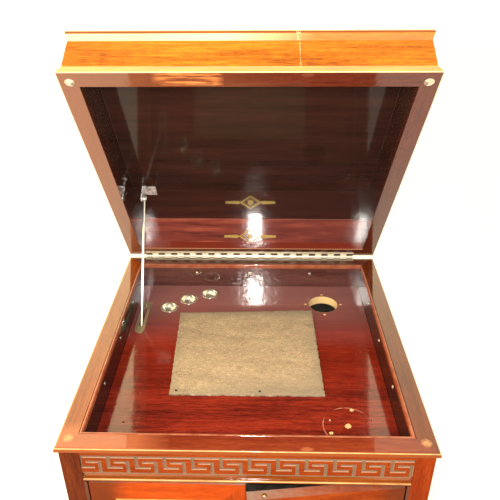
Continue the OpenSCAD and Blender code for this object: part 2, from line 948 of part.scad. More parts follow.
module moving_leaves() {
    color("silver")
        for (z = butt_z)
            difference() {
                butt_leaf(z, [pivot_x - FACE_PLAY - butt_leaf_t, pivot_x - FACE_PLAY], true);
                translate([pivot_x, pivot_y, z - butt_h])
                    cylinder(h = 2 * butt_h, r = butt_pin_r + PIN_PLAY);
            }
}

module door_hinge_fixed_leaves() {
    color("silver") both_sides() fixed_leaves();
}

// Turned knob on the meeting stile
module door_knob() {
    ball_r = 7;
    color("goldenrod")
        translate([door_in + meeting_w / 2, -body_y, shelf_z + 40])
            rotate([90, 0, 0])
                rotate_extrude()
                    intersection() {
                        square([ball_r, 18]);
                        union() {
                            square([5.5, 1.5]);
                            square([2.8, 8]);
                            translate([0, 11]) circle(ball_r);
                        }
                    }
}

module catch_bore() {
    translate([catch_at[0], catch_at[1], door_top - catch_depth])
        cylinder(h = catch_depth + 1, r = catch_r + 0.05);
}

module right_door_catch() {
    floor_t = 1.5;
    color("gold")
        on_right_door()
            translate([catch_at[0], catch_at[1], door_top - catch_depth])
                difference() {
                    cylinder(h = catch_depth, r = catch_r);
                    translate([0, 0, floor_t]) cylinder(h = catch_depth, r = bullet_r + PIN_PLAY);
                }
}

module catch_bullet() {
    body_l = 6;
    color("gold")
        on_right_door()
            translate([catch_at[0], catch_at[1], door_top + bullet_out - body_l])
                rotate_extrude()
                    intersection() {
                        square([bullet_r, body_l]);
                        translate([0, body_l - bullet_r - 0.6]) union() {
                            circle(bullet_r + 0.6);
                            translate([0, -body_l]) square([bullet_r, body_l]);
                        }
                    }
}

post_front_left();
post_front_right();
back_posts();
rim_rail(0);  // rim_front
rim_rail(1);  // rim_right
rim_rail(2);  // rim_back
rim_rail(3);  // rim_left
well_bead();
well_liner_front();
well_liner_sides();
well_liner_back();
round_head_screws();
frieze_board();
frieze_moulding();
side_panel_left();
side_panel_right();
back_panel();
back_top_rail();
bottom_board();
front_apron();
centre_shelf();
cock_beads();
sound_front_board();
horn_body();
horn_elbow();
record_dividers();
motor_board();
board_bearers();
blanking_sheet();
sheet_nails();
needle_cup(cups[0]);  // needle_cup_left
needle_cup(cups[1]);  // needle_cup_middle
needle_cup(cups[2]);  // needle_cup_right
stay_guide_plate();
hinge_cabinet_leaf();
hinge_pin();
door_hinge_fixed_leaves();
winding_escutcheon();
glides();
lid_rim_frame();
lid_front_board();
lid_back_board();
lid_side_boards();
lid_crown_moulding();
lid_top_panel();
lid_bumpers();
stay_bracket();
hinge_lid_leaf();
stay_rod();
mirror([1, 0, 0]) door_frame();  // left_door_frame
mirror([1, 0, 0]) door_panel();  // left_door_panel
mirror([1, 0, 0]) moving_leaves();  // left_door_hinge_leaves
mirror([1, 0, 0]) door_knob();  // left_door_knob
right_door_frame();
on_right_door() door_panel();  // right_door_panel
on_right_door() moving_leaves();  // right_door_hinge_leaves
on_right_door() door_knob();  // right_door_knob
right_door_catch();
catch_bullet();
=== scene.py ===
"""Looks of a floor-standing cabinet gramophone: lid open on its stay, motor and tone arm taken out.

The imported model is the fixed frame. Every CAD node keeps its shape and gets a procedural finish. The
doors' mouldings, the screw heads, the rough board and the gilt ornament are separate visual pieces.
"""

import json
import math

import bmesh
import bpy
import numpy as np
from mathutils import Matrix, Vector


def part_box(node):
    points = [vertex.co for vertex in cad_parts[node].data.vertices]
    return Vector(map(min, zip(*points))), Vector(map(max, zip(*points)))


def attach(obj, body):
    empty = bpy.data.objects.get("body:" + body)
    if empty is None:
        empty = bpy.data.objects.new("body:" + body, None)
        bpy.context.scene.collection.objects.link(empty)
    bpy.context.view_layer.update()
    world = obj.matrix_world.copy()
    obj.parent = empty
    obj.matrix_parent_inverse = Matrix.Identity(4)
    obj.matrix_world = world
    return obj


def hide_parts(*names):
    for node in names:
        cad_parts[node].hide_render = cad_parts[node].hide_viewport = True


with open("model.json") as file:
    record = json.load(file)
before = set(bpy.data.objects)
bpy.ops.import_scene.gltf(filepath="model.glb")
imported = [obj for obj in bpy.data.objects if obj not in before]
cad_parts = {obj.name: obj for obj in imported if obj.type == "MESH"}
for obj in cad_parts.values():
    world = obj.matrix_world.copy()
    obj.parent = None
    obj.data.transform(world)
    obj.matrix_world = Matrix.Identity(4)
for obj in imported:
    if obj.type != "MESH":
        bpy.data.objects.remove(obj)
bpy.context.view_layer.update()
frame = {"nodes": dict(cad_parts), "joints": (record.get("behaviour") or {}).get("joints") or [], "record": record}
MM = 0.001
JOINTS = {j["name"]: j for j in frame["joints"]}


def turned_about(joint, degrees, letter):
    """A turn by so many degrees about a joint's axis, as a matrix in the row frame."""
    pivot = Matrix.Translation(Vector(JOINTS[joint]["pos_m"]))
    return pivot @ Matrix.Rotation(math.radians(degrees), 4, letter) @ pivot.inverted()


LID_ANGLE = JOINTS["lid_hinge"]["range_deg"][1]
LID = turned_about("lid_hinge", -LID_ANGLE, "X")  # takes the shut lid to where it stands
AJAR = turned_about("right_door_hinge", -JOINTS["right_door_hinge"]["range_deg"][0], "Z")
MIRROR = Matrix.Scale(-1, 4, (1, 0, 0))
STILL = Matrix.Identity(4)

RIM_LOW, RIM_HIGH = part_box("rim_front")
BOARD_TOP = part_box("motor_board")[1].z
WELL_LOW = Vector((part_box("well_liner_front")[0].x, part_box("well_liner_front")[1].y, BOARD_TOP))
WELL_HIGH = Vector((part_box("well_liner_front")[1].x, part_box("well_liner_back")[0].y, RIM_HIGH.z))
RIM_W, RIM_D, RIM_H = RIM_HIGH.x - RIM_LOW.x, -2 * RIM_LOW.y, RIM_HIGH.z
HINGE_Z = JOINTS["lid_hinge"]["pos_m"][2]
LID_Z = RIM_H + 2 * (HINGE_Z - RIM_H)  # the shut lid's mouth
DOOR_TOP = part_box("left_door_frame")[1].z
RIM_BAND = 26 * MM                     # width of the lid's mouth, seen from below
MARGIN = 20 * MM                       # from the rim's outline, inside the lid's walls
CEILING = 72 * MM                      # of the lid, above its mouth
BUFFER_IN = 18.5 * MM                  # from the rim's front edge to a buffer's middle
BUFFER_R = 6.8 * MM
GHOST_R = 36.8 * MM                    # ring left by the speed control's plate
KNUCKLES = 33                          # in the piano hinge
MOUNTS = {m["name"]: m for m in frame["record"]["mounts"]}


# ---- meshes ----

def put(name, verts, faces, body, finish, place=STILL, smooth=35):
    """A mesh piece whose place is in its vertices, riding on a body. A face with its third corner given
    twice is a triangle, and edges sharper than smooth degrees stay sharp."""
    verts = moved(np.asarray(verts, float).reshape(-1, 3), place)
    mesh = bpy.data.meshes.new(name)
    mesh.from_pydata(verts.tolist(), [], [f[:3] if f[2] == f[-1] else f for f in np.asarray(faces).tolist()])
    mesh.validate()
    if place.determinant() < 0:
        mesh.flip_normals()
    mesh.polygons.foreach_set("use_smooth", [True] * len(mesh.polygons))
    mesh.set_sharp_from_angle(angle=math.radians(smooth))
    mesh.materials.append(finish)
    obj = bpy.data.objects.new(name, mesh)
    bpy.context.scene.collection.objects.link(obj)
    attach(obj, body)
    return obj


def grid_faces(rows, cols, wrap_rows=False, wrap_cols=False):
    """Quads of a rows by cols grid of vertices, as an array of indices, closed along either way if asked."""
    i = np.arange(rows if wrap_rows else rows - 1)[:, None]
    j = np.arange(cols if wrap_cols else cols - 1)[None, :]
    i2, j2 = (i + 1) % rows, (j + 1) % cols
    return np.stack([i * cols + j, i * cols + j2, i2 * cols + j2, i2 * cols + j], -1).reshape(-1, 4)


def slab(top, low):
    """A closed solid between two grids of points of the same size, top above low, with walls round the edge.
    Seen from above, rows run along x and columns along y."""
    rows, cols = top.shape[:2]
    n = rows * cols
    cap = grid_faces(rows, cols)
    ring = np.concatenate([
        np.arange(cols - 1),
        (np.arange(rows - 1) * cols + cols - 1),
        (rows - 1) * cols + np.arange(cols - 1, 0, -1),
        np.arange(rows - 1, 0, -1) * cols])
    after = np.roll(ring, -1)
    wall = np.stack([ring, after, after + n, ring + n], -1)
    verts = np.concatenate([top.reshape(-1, 3), low.reshape(-1, 3)])
    return verts, np.concatenate([cap[:, ::-1], cap + n, wall])


def together(parts):
    """Several (vertices, faces) pairs as one."""
    verts, faces, start = [], [], 0
    for v, f in parts:
        verts.append(np.asarray(v, float).reshape(-1, 3))
        faces.append(np.asarray(f) + start)
        start += len(verts[-1])
    return np.concatenate(verts), np.concatenate(faces)


def framed(outline, low, high):
    """An outline carried round a rectangle in x and z with mitred corners. The outline's first number is the
    inset from the rectangle's edge, and its second is the height out of the face, along -y."""
    o = np.asarray(outline, float)
    corner = np.array([[-1, -1], [1, -1], [1, 1], [-1, 1]])
    mid, half = (np.array(low) + high) / 2, (np.array(high) - low) / 2
    x = mid[0] + corner[:, None, 0] * (half[0] - o[None, :, 0])
    z = mid[1] + corner[:, None, 1] * (half[1] - o[None, :, 0])
    y = -o[None, :, 1] + 0 * x
    faces = grid_faces(4, len(o), True, True)
    return np.stack([x, y, z], -1), faces


def arc(centre, r, start, end, steps=7):
    """Points on a circle's arc, from one angle to the other in degrees."""
    a = np.radians(np.linspace(start, end, steps))
    return np.stack([centre[0] + r * np.cos(a), centre[1] + r * np.sin(a)], -1)


def facing(at, normal, turn=0.0):
    """The matrix that stands local +z along a normal at a point, turned about it by some degrees."""
    n = Vector(normal).normalized()
    return Matrix.Translation(Vector(at)) @ n.to_track_quat("Z", "Y").to_matrix().to_4x4() \
        @ Matrix.Rotation(math.radians(turn), 4, "Z")


def moved(points, matrix):
    """Points of any array shape through a matrix."""
    m = np.array(matrix, float)
    return points @ m[:3, :3].T + m[:3, 3]


def screw_head(r, h, slot_w, place):
    """A domed screw head: two half domes, a sphere's cap of height h over radius r, either side of a slot."""
    sphere = (r * r + h * h) / (2 * h)
    a, t = np.meshgrid(np.linspace(-1, 1, 9), np.linspace(0, 1, 5), indexing="ij")
    y = a * math.sqrt(r * r - slot_w * slot_w / 4) * 0.999
    x = slot_w / 2 + t * (np.sqrt(r * r - y * y) - slot_w / 2)
    z = np.sqrt(sphere ** 2 - x * x - y * y) - sphere + h
    halves = []
    for side in (1, -1):
        top = np.stack([side * x, side * y, z], -1)
        low = np.stack([side * x, side * y, 0 * z - 0.05 * MM], -1)
        v, f = slab(top, low)
        halves.append((moved(v, place), f[:, ::-1]))
    turns = np.radians(np.arange(0, 360, 20))
    ring = np.stack([r * 0.97 * np.cos(turns), r * 0.97 * np.sin(turns), 0 * turns + h * 0.35], -1)
    n = len(turns)
    sunk = 0.04 * MM
    middles = [[0, 0, h * 0.35], [0, 0, -sunk]]
    disc = np.concatenate([ring, ring * [1, 1, 0] - [0, 0, sunk], middles])
    k, k2 = np.arange(n), (np.arange(n) + 1) % n
    hub = np.full(n, 2 * n)
    faces = np.concatenate([
        np.stack([k, k2, hub, hub], -1),
        np.stack([k2 + n, k + n, hub + 1, hub + 1], -1),
        np.stack([k + n, k2 + n, k2, k], -1)])
    return halves + [(moved(disc, place), faces)]


# ---- shader maths ----

def operator(name, flipped=False):
    """A method of Socket that adds a Math node. The socket is its first value, or its last when flipped."""
    if flipped:
        return lambda self, other: self.math(name, other, self)
    return lambda self, other: self.math(name, self, other)


class Socket:
    """A shader socket. Arithmetic on it adds Math nodes, and node() adds any other node."""

    def __init__(self, tree, out):
        self.tree, self.out = tree, out

    def node(self, kind, settings=None, inputs=None, out=0):
        """Adds a node. settings are attributes, with a ramp's stops as (place, colour), and inputs go by
        name or number."""
        made = self.tree.nodes.new("ShaderNode" + kind)
        for key, value in (settings or {}).items():
            if key == "stops":
                ramp = made.color_ramp.elements
                while len(ramp) < len(value):
                    ramp.new(0.5)
                for element, (place, colour) in zip(ramp, value):
                    element.position, element.color = place, (*colour, 1.0)
            else:
                setattr(made, key, value)
        for key, value in (inputs or {}).items():
            if isinstance(value, Socket):
                self.tree.links.new(value.out, made.inputs[key])
            elif hasattr(value, "__len__") and made.inputs[key].type == "RGBA" and len(value) == 3:
                made.inputs[key].default_value = (*value, 1.0)
            else:
                made.inputs[key].default_value = value
        return Socket(self.tree, made.outputs[out]) if len(made.outputs) else None

    def math(self, operation, *values, clamp=False):
        return self.node("Math", {"operation": operation, "use_clamp": clamp}, dict(enumerate(values)))

    __add__ = __radd__ = operator("ADD")
    __sub__, __rsub__ = operator("SUBTRACT"), operator("SUBTRACT", flipped=True)
    __mul__ = __rmul__ = operator("MULTIPLY")
    __truediv__ = operator("DIVIDE")
    both, either = operator("MINIMUM"), operator("MAXIMUM")

    def __abs__(self):
        return self.math("ABSOLUTE", self)

    def clamped(self):
        return self.math("ADD", self, 0.0, clamp=True)

    def ramped(self, low, high):
        """0 at low and 1 at high, straight between them and clamped."""
        return self.node("MapRange", {"clamp": True}, {0: self, 1: low, 2: high, 3: 0.0, 4: 1.0})

    def falling(self, low, high):
        """1 at low and 0 at high."""
        return 1.0 - self.ramped(low, high)

    def mixed(self, a, b):
        """Colour a where this is 0 and b where it is 1."""
        return self.node("Mix", {"data_type": "RGBA"}, {0: self, 6: a, 7: b}, 2)

    def xyz(self):
        split = self.node("SeparateXYZ", inputs={0: self})
        return [Socket(self.tree, o) for o in split.out.node.outputs]

    def vector(self, x, y, z):
        return self.node("CombineXYZ", inputs={0: x, 1: y, 2: z})

    def noise(self, scale=1.0, detail=3.0, rough=0.55, bend=0.0):
        return self.node("TexNoise", inputs={"Vector": self, "Scale": scale, "Detail": detail,
                                             "Roughness": rough, "Distortion": bend})

    def stretched(self, x, y, z, shift=(0, 0, 0)):
        """This vector with its axes scaled, and then shifted."""
        return self.node("Mapping", inputs={"Vector": self, "Scale": (x, y, z), "Location": shift})

    def tones(self, places, colours):
        """A ramp of colours at the given places, read at this value."""
        return self.node("ValToRGB", {"stops": list(zip(places, colours))}, {0: self})

    def length(self, other):
        """The length of the flat vector (self, other)."""
        squares = self * self + other * other
        return squares.math("SQRT", squares)


class Finish:
    """A material being made: place is the Object coordinates, and paint() sets its shader."""

    def __init__(self, name):
        self.mat = bpy.data.materials.new(name)
        self.mat.use_nodes = True
        self.tree = self.mat.node_tree
        self.tree.nodes.clear()
        self.place = Socket(self.tree, None).node("TexCoord", out=3)

    def paint(self, bump=None, bump_depth=0.0002, **sockets):
        """Sets the Principled shader's sockets, by name with _ for a space, and an optional bump."""
        values = {key.replace("_", " "): value for key, value in sockets.items()}
        if bump is not None:
            values["Normal"] = bump.node("Bump", inputs={"Height": bump, "Distance": bump_depth,
                                                         "Strength": 1.0})
        shader = self.place.node("BsdfPrincipled", inputs=values)
        shader.node("OutputMaterial", inputs={0: shader})
        return self.mat


def shut_lid(place):
    """Object coordinates of the open lid turned back to where they are with the lid shut."""
    back = LID.inverted()
    return place.node("Mapping", inputs={"Vector": place, "Rotation": back.to_euler(),
                                         "Location": back.translation})


GRAIN = {"x": (0, 1, 2), "y": (1, 0, 2), "z": (2, 0, 1)}


def grain_vector(place, along, mitre=None):
    """Coordinates with the grain along their first axis. In a mitred frame the grain follows the nearer side:
    mitre is the two axes of the frame and its middle and half sizes."""
    axes = place.xyz()
    first = place.vector(*[axes[i] for i in GRAIN[along]])
    if mitre is None:
        return first
    (a, b), middle, half = mitre
    inset_a = half[0] - abs(axes[a] - middle[0])
    inset_b = half[1] - abs(axes[b] - middle[1])
    upright = (inset_b - inset_a).math("GREATER_THAN", inset_b - inset_a, 0.0)
    order = [b, a, 3 - a - b]
    second = place.vector(*[axes[i] for i in order])
    return place.node("Mix", {"data_type": "VECTOR"}, {0: upright, 4: first, 5: second}, 1)


def mahogany(name, tones, along="x", mitre=None, seed=0.0, on_lid=False, after=None, coat=1.0,
             base=0.5, contrast=0.75):
    """French-polished mahogany. tones are its dark, middle and light colours. Broad ribbons and finer
    streaks run along the grain, short pores darken it, and a clear coat lies over it. base is how much the
    wood under the coat shines. after(place, colour, rough, coat) may change the last three."""
    f = Finish(f"{name}_finish")
    place = shut_lid(f.place) if on_lid else f.place
    grain = grain_vector(place, along, mitre)
    shift = (seed * 1.7, seed * 3.1, seed * 0.9)
    ribbon = grain.stretched(3.2, 22, 22, shift).noise(detail=3.0, bend=0.5)
    streak = grain.stretched(14, 190, 190, shift).noise(detail=5.0, rough=0.65, bend=0.4)
    fleck = grain.stretched(70, 560, 560, shift).noise(detail=2.0, rough=0.7)
    pore = grain.stretched(130, 1500, 1500, shift).noise(detail=1.0).ramped(0.60, 0.72)
    figure = ((ribbon - 0.5) * (1.2 * contrast) + (streak - 0.5) * (1.1 * contrast)
              + (fleck - 0.5) * (0.9 * contrast) + 0.5).clamped()
    colour = figure.tones((0.12, 0.5, 0.88), tones)
    colour = (pore * 0.45).mixed(colour, tones[0])
    rough = streak * 0.05 + 0.06
    thick = (0.4 if base > 0.2 else 1.0) * coat
    if after is not None:
        colour, rough, thick = after(place, colour, rough, thick)
    waves = f.place.noise(75.0, 2.0)
    return f.paint(Base_Color=colour, Roughness=rough, Specular_IOR_Level=base * coat, Coat_Weight=thick,
                   Coat_Roughness=0.04, bump=waves * 2.2 + streak * 0.15 - pore * 0.12, bump_depth=0.0001)


def near(place, points, radius, soft):
    """1 within radius of any of the points in plan, falling to 0 over soft."""
    x, y, _ = place.xyz()
    found = None
    for px, py in points:
        spot = (x - px).length(y - py).falling(radius, radius + soft)
        found = spot if found is None else found.either(spot)
    return found


def ragged(place, scale):
    """Coordinates shaken by up to 2 mm in plan, in which a mark's outline comes out ragged."""
    x, y, z = place.xyz()
    shake = place.noise(scale, 3.0) * 0.004 - 0.002
    return place.vector(x + shake, y + shake, z)


def layered(colour, *layers):
    """A colour with others laid over it in turn, each as (mask, colour)."""
    for mask, tone in layers:
        colour = mask.mixed(colour, tone)
    return colour


def rim_oval(place, x):
    """The long oval mark where the lid's mouth and the rim's front edge rubbed, at x along them."""
    flat = 0.42
    return near(place.stretched(flat, 1.0, 1.0), [(x * flat, RIM_LOW.y + 5.5 * MM)], 2.6 * MM, 1.6 * MM)


def inset_from_edge(x, y):
    """How far a point in plan lies inside the rim's outline."""
    return (RIM_W / 2 - abs(x)).both(RIM_D / 2 - abs(y))


def at_back_wall(y):
    """1 on the lid's inner back wall and behind it."""
    return y.ramped(RIM_D / 2 - 30 * MM, RIM_D / 2 - 27 * MM)


# Dark, middle and light tones of each board
ORANGE = [(0.22, 0.030, 0.004), (0.42, 0.056, 0.005), (0.58, 0.095, 0.010)]
FRIEZE_RED = [(0.11, 0.014, 0.002), (0.23, 0.032, 0.003), (0.37, 0.066, 0.007)]
MOULDING_ORANGE = [(0.13, 0.030, 0.005), (0.24, 0.058, 0.009), (0.36, 0.105, 0.018)]
# painted highlight: these tones are lightened to stand for the highlight along the door mouldings' bead
HIGHLIT_MOULDING_TONES = [(0.40, 0.13, 0.03), (0.62, 0.26, 0.07), (0.80, 0.45, 0.15)]
RED_CASE = [(0.10, 0.012, 0.002), (0.20, 0.024, 0.003), (0.31, 0.046, 0.006)]
BROWN_CASE = [(0.05, 0.009, 0.003), (0.105, 0.019, 0.005), (0.17, 0.034, 0.008)]
RIM_FRONT = [(0.070, 0.010, 0.005), (0.150, 0.021, 0.008), (0.235, 0.042, 0.014)]
RIM_LEFT = [(0.10, 0.019, 0.003), (0.21, 0.044, 0.005), (0.32, 0.078, 0.009)]
RIM_RIGHT = [(0.050, 0.010, 0.003), (0.110, 0.022, 0.005), (0.17, 0.038, 0.008)]
RIM_BACK = [(0.06, 0.018, 0.012), (0.12, 0.040, 0.030), (0.18, 0.070, 0.050)]
BEAD_RED = [(0.10, 0.010, 0.004), (0.21, 0.022, 0.007), (0.32, 0.042, 0.012)]
WELL_BACK = [(0.05, 0.017, 0.014), (0.10, 0.036, 0.030), (0.16, 0.060, 0.050)]
WELL_DARK = [(0.005, 0.006, 0.005), (0.012, 0.012, 0.010), (0.024, 0.020, 0.017)]
BOARD_RED = [(0.035, 0.004, 0.003), (0.135, 0.012, 0.007), (0.28, 0.027, 0.011)]
LID_ORANGE = [(0.24, 0.060, 0.004), (0.52, 0.145, 0.008), (0.72, 0.240, 0.015)]
LID_DARK = [(0.018, 0.009, 0.007), (0.030, 0.012, 0.009), (0.048, 0.017, 0.013)]
LID_WALL = [(0.09, 0.020, 0.018), (0.25, 0.050, 0.034), (0.46, 0.11, 0.06)]
MOUTH_BROWN = [(0.040, 0.007, 0.003), (0.085, 0.015, 0.007), (0.140, 0.028, 0.012)]
BARE_WOOD = (0.86, 0.62, 0.30)
CREAM = (0.90, 0.62, 0.26)
# painted highlight colour laid over the well bead
BEAD_HIGHLIGHT = (0.70, 0.36, 0.18)


def rim_wear_and_painted_light(place, colour, rough, coat):
    """Marks of the lid's buffers, a rubbed oval by the front edge, a painted reflection that lightens the left
    front corner, pale arrises that are partly rubbed and partly a painted highlight, and an orange edge below the
    polished top, which alone has the coat."""
    x, y, z = place.xyz()
    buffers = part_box("lid_bumpers")
    out = (buffers[1].x - buffers[0].x) / 2 - BUFFER_R
    loose = ragged(place, 320.0)
    across = RIM_LOW.y + BUFFER_IN
    marks = near(loose, [(out, across), (-out, across)], 3 * MM, 5 * MM)
    marks = marks * (place.noise(240.0, 3.0).ramped(0.40, 0.66) * 0.6 + 0.3)
    edge = inset_from_edge(x, y).either(RIM_H - z)
    # pale arrises: partly rubbed wear, partly a painted highlight along the rim's edges
    rubbed = edge.falling(0.0007, 0.0018)
    blotch = place.noise(60.0, 4.0).ramped(0.3, 0.6)
    # painted reflection: the left front corner is lightened towards tan
    reflection_veil = (-0.098 - x).ramped(0.0, 0.045) * (y - RIM_LOW.y).falling(0.03, 0.05)
    under = z.falling(RIM_H - 0.0024, RIM_H - 0.0016)
    colour = layered(
        colour,
        (reflection_veil * 0.35, (0.55, 0.19, 0.08)),
        (rim_oval(loose, 0.079) * 0.5, (0.42, 0.14, 0.055)),
        (marks * 0.85, (0.80, 0.40, 0.15)),
        (rubbed * (blotch * 0.35 + 0.55), CREAM),
        (under * 0.75, (0.27, 0.065, 0.010)))
    return colour, rough + marks * 0.1, z.ramped(RIM_H - 0.0006, RIM_H - 0.0001) * coat


def bead_highlight(place, colour, rough, coat):
    """The whole bead is lightened towards pale in blotches: a painted highlight."""
    blotch = place.noise(45.0, 3.0).ramped(0.3, 0.6)
    return (blotch * 0.2 + 0.06).mixed(colour, BEAD_HIGHLIGHT), rough, coat


def bare_spots(place, colour, rough, coat):
    """Bare wood in the holes of the motor board and chipped round them, two arcs of a ghost ring, dust
    specks, and a board that is reddest at its middle and hazy towards the back."""
    tone, speed = MOUNTS["tone_arm_hole"], MOUNTS["speed_control_hole"]
    tone_at, speed_at = tone["pos_m"][:2], speed["pos_m"][:2]
    pcd = MOUNTS["tone_arm_screws"]["dims"]["pcd_mm"] * MM / 2
    screws = [(tone_at[0] + pcd * c, tone_at[1] + pcd * s) for c, s in ((1, 0), (0, 1), (-1, 0), (0, -1))]
    odd = [(speed_at[0] + dx * MM, speed_at[1] + dy * MM) for dx, dy in ((9.7, 32.5), (-26.3, -14))]
    x, y, _ = place.xyz()
    loose = ragged(place, 260.0)
    bare = near(place, [tone_at], tone["dims"]["r_mm"] * MM + 0.00005, 0.0002)
    chips = near(loose, screws, 0.0018, 0.0010).either(near(loose, odd, 0.0021, 0.0010))
    small = near(loose, [(speed_at[0] + 35.9 * MM, speed_at[1] + 11.5 * MM),
                         (speed_at[0] - 26 * MM, speed_at[1] + 11 * MM)], 0.0009, 0.0008)
    spindle = near(loose, [speed_at], speed["dims"]["r_mm"] * MM + 0.0002, 0.0005)
    dx, dy = x - speed_at[0], y - speed_at[1]
    ring = abs(dx.length(dy) - GHOST_R).falling(0.0003, 0.0012)
    left, top = (dx * -0.97 - dy * 0.24) / GHOST_R, (dx * 0.12 + dy * 0.99) / GHOST_R
    patchy = place.noise(150.0, 2.0).ramped(0.35, 0.6)
    ghost = ring * left.ramped(0.72, 0.88).either(top.ramped(0.78, 0.9)) * (patchy * 0.5 + 0.25)
    cell = place.node("TexVoronoi", {"feature": "F1"}, {"Vector": place, "Scale": 95.0})
    specks = cell.falling(0.05, 0.09) * place.noise(9.0, 2.0).ramped(0.5, 0.62) * 0.55
    marks = bare.either(chips).either(spindle).either(small)
    dusty = ghost.either(specks)
    haze = place.stretched(5, 30, 5).noise(detail=3.0).ramped(0.3, 0.7)
    haze = y.ramped(WELL_HIGH.y * 0.1, WELL_HIGH.y) * haze
    glow = abs(y - 0.02).falling(0.04, 0.13)
    colour = layered(
        colour,
        (glow * 0.22, (0.42, 0.035, 0.010)),
        (haze * 0.15 + y.ramped(0.02, 0.17) * 0.85, (0.27, 0.112, 0.108)),
        (dusty, (0.55, 0.26, 0.17)),
        (marks, BARE_WOOD))
    return colour, rough + marks * 0.4 + dusty * 0.2, coat - marks.either(dusty * 0.6)


def bead_crown_highlight(place, colour, rough, coat):
    """The bead at the foot of the moulding under the fret carries a painted highlight in cream along its crown, in
    blotches, near the front.
    """
    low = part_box("frieze_moulding")[0].z
    _, y, z = place.xyz()
    # painted highlight along the upward-facing crown of the bead
    crown = abs(z - low - 0.0041).falling(0.0003, 0.0010)
    crown = crown * (y + RIM_D / 2).falling(0.006, 0.012)
    blotch = place.stretched(20, 60, 60).noise(detail=3.0).ramped(0.25, 0.6)
    return (crown * (blotch * 0.45 + 0.2)).mixed(colour, CREAM), rough, coat


def fret_dust_and_shading(place, colour, rough, coat):
    """Dust in the fret's grooves with painted light: their walls are pale, partly dust and partly a painted
    highlight on the lit ledges, and their floors are darker, partly dust and partly painted shade, over a mottled
    key.
    """
    inward = place.xyz()[1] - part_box("frieze_board")[0].y
    cut = inward.falling(0.004, 0.005)
    # floor: dust colour, partly painted shade in the groove
    floor = inward.ramped(0.0021, 0.0024) * cut
    # wall: pale dust, partly a painted highlight on the upward ledges
    wall = inward.ramped(0.0002, 0.0006) * cut
    patch = place.noise(300.0, 4.0).ramped(0.3, 0.7)
    colour = layered(
        colour,
        (patch * 0.35, (0.20, 0.040, 0.012)),
        (wall * (patch * 0.3 + 0.7), (0.52, 0.33, 0.22)),
        (floor * (patch * 0.35 + 0.6), (0.135, 0.090, 0.058)))
    return colour, rough + wall * 0.4, coat - wall * coat


def stained_lid(place, colour, rough, coat):
    """The lid's inside is stained dark, with a redder back wall and a pale open joint at the ceiling, and
    its walls are the glossiest. Outside, one long scratch shows pale."""
    x, y, z = place.xyz()
    height = z - LID_Z
    inside = (RIM_W / 2 - MARGIN - abs(x)).both(RIM_D / 2 - MARGIN - abs(y)).both(LID_Z + CEILING - z)
    inside = inside.ramped(-0.0001, 0.0001)
    grain = place.stretched(6, 60, 60).noise(detail=5.0, rough=0.65)
    dark = grain.tones((0.3, 0.52, 0.75), LID_DARK)
    warm = grain.tones((0.32, 0.5, 0.68), LID_WALL)
    warm = (x.ramped(-0.10, 0.16) * 0.45).mixed(warm, (0.10, 0.030, 0.032))
    dark = at_back_wall(y).mixed(dark, warm)
    joint = height.ramped(0.0688, 0.0691) * height.falling(0.0696, 0.0698)
    dark = (joint * 0.5).mixed(dark, (0.30, 0.25, 0.20))
    wander = place.noise(14.0, 3.0) * 0.003
    scratch = abs(x - 0.0668 - wander).falling(0.0002, 0.0007)
    scratch = scratch * place.noise(170.0, 2.0).ramped(0.35, 0.5) * y.falling(-0.2, -0.15)
    colour = (scratch * 0.6).mixed(colour, (0.95, 0.75, 0.45))
    roof = height.ramped(0.060, 0.068) * y.falling(0.11, 0.17)
    gloss = inside * (1.0 - roof * 0.7) + (1.0 - inside) * 0.3
    return inside.mixed(colour, dark), rough, gloss * coat


def lid_mouth(place, colour, rough, coat):
    """The lid's mouth: dark inner faces, streaky wear along the front and an oval mark. The outer splay and
    its arris carry a painted highlight, strongest at the front, and a painted reflection makes the left side
    paler than the right."""
    x, y, z = place.xyz()
    height, from_front = z - LID_Z, y + RIM_D / 2
    inset = inset_from_edge(x, y)
    mouth = height.falling(0.0003, 0.0006)
    # painted reflection: the left of the mouth is lightened towards tan
    reflection_veil = (0.05 - x).ramped(0.0, 0.30) * inset.falling(RIM_BAND - 0.0001, RIM_BAND)
    streaks = place.stretched(22, 260, 40).noise(detail=5.0, rough=0.7).ramped(0.42, 0.60)
    patch = abs(x + 0.079).falling(0.036, 0.048) * from_front.falling(0.022, 0.0245) * mouth
    inner = inset.ramped(RIM_BAND - 0.0001, RIM_BAND + 0.0001)
    behind = at_back_wall(y)
    lip = inset.ramped(0.0250, 0.0256) * behind * height.falling(0.0009, 0.0014)
    # painted highlight on the outer splay and its arris, strongest at the front
    faces = 0.25 + from_front.falling(0.02, 0.06) * 0.75
    splay = height.ramped(0.0006, 0.0012) * inset.falling(0.006, 0.008)
    blotch = place.stretched(12, 60, 60).noise(detail=4.0).ramped(0.3, 0.65)
    arris = abs(height - 0.0006).falling(0.0006, 0.0012) * inset.falling(0.0006, 0.0014)
    colour = layered(
        colour,
        (reflection_veil * 0.5, (0.34, 0.13, 0.06)),
        (patch * streaks * 0.85, (0.72, 0.25, 0.07)),
        (rim_oval(place, 0.077) * mouth * 0.15, (0.42, 0.17, 0.08)),
        (inner, behind.mixed(LID_DARK[1], (0.27, 0.034, 0.018))),
        (lip * 0.7, (0.72, 0.36, 0.18)),
        (splay * (blotch * 0.35 + 0.45) * faces, (0.88, 0.38, 0.045)),
        (arris * 0.85 * faces, (0.98, 0.80, 0.45)))
    return colour, rough, coat - splay * (0.5 * coat)


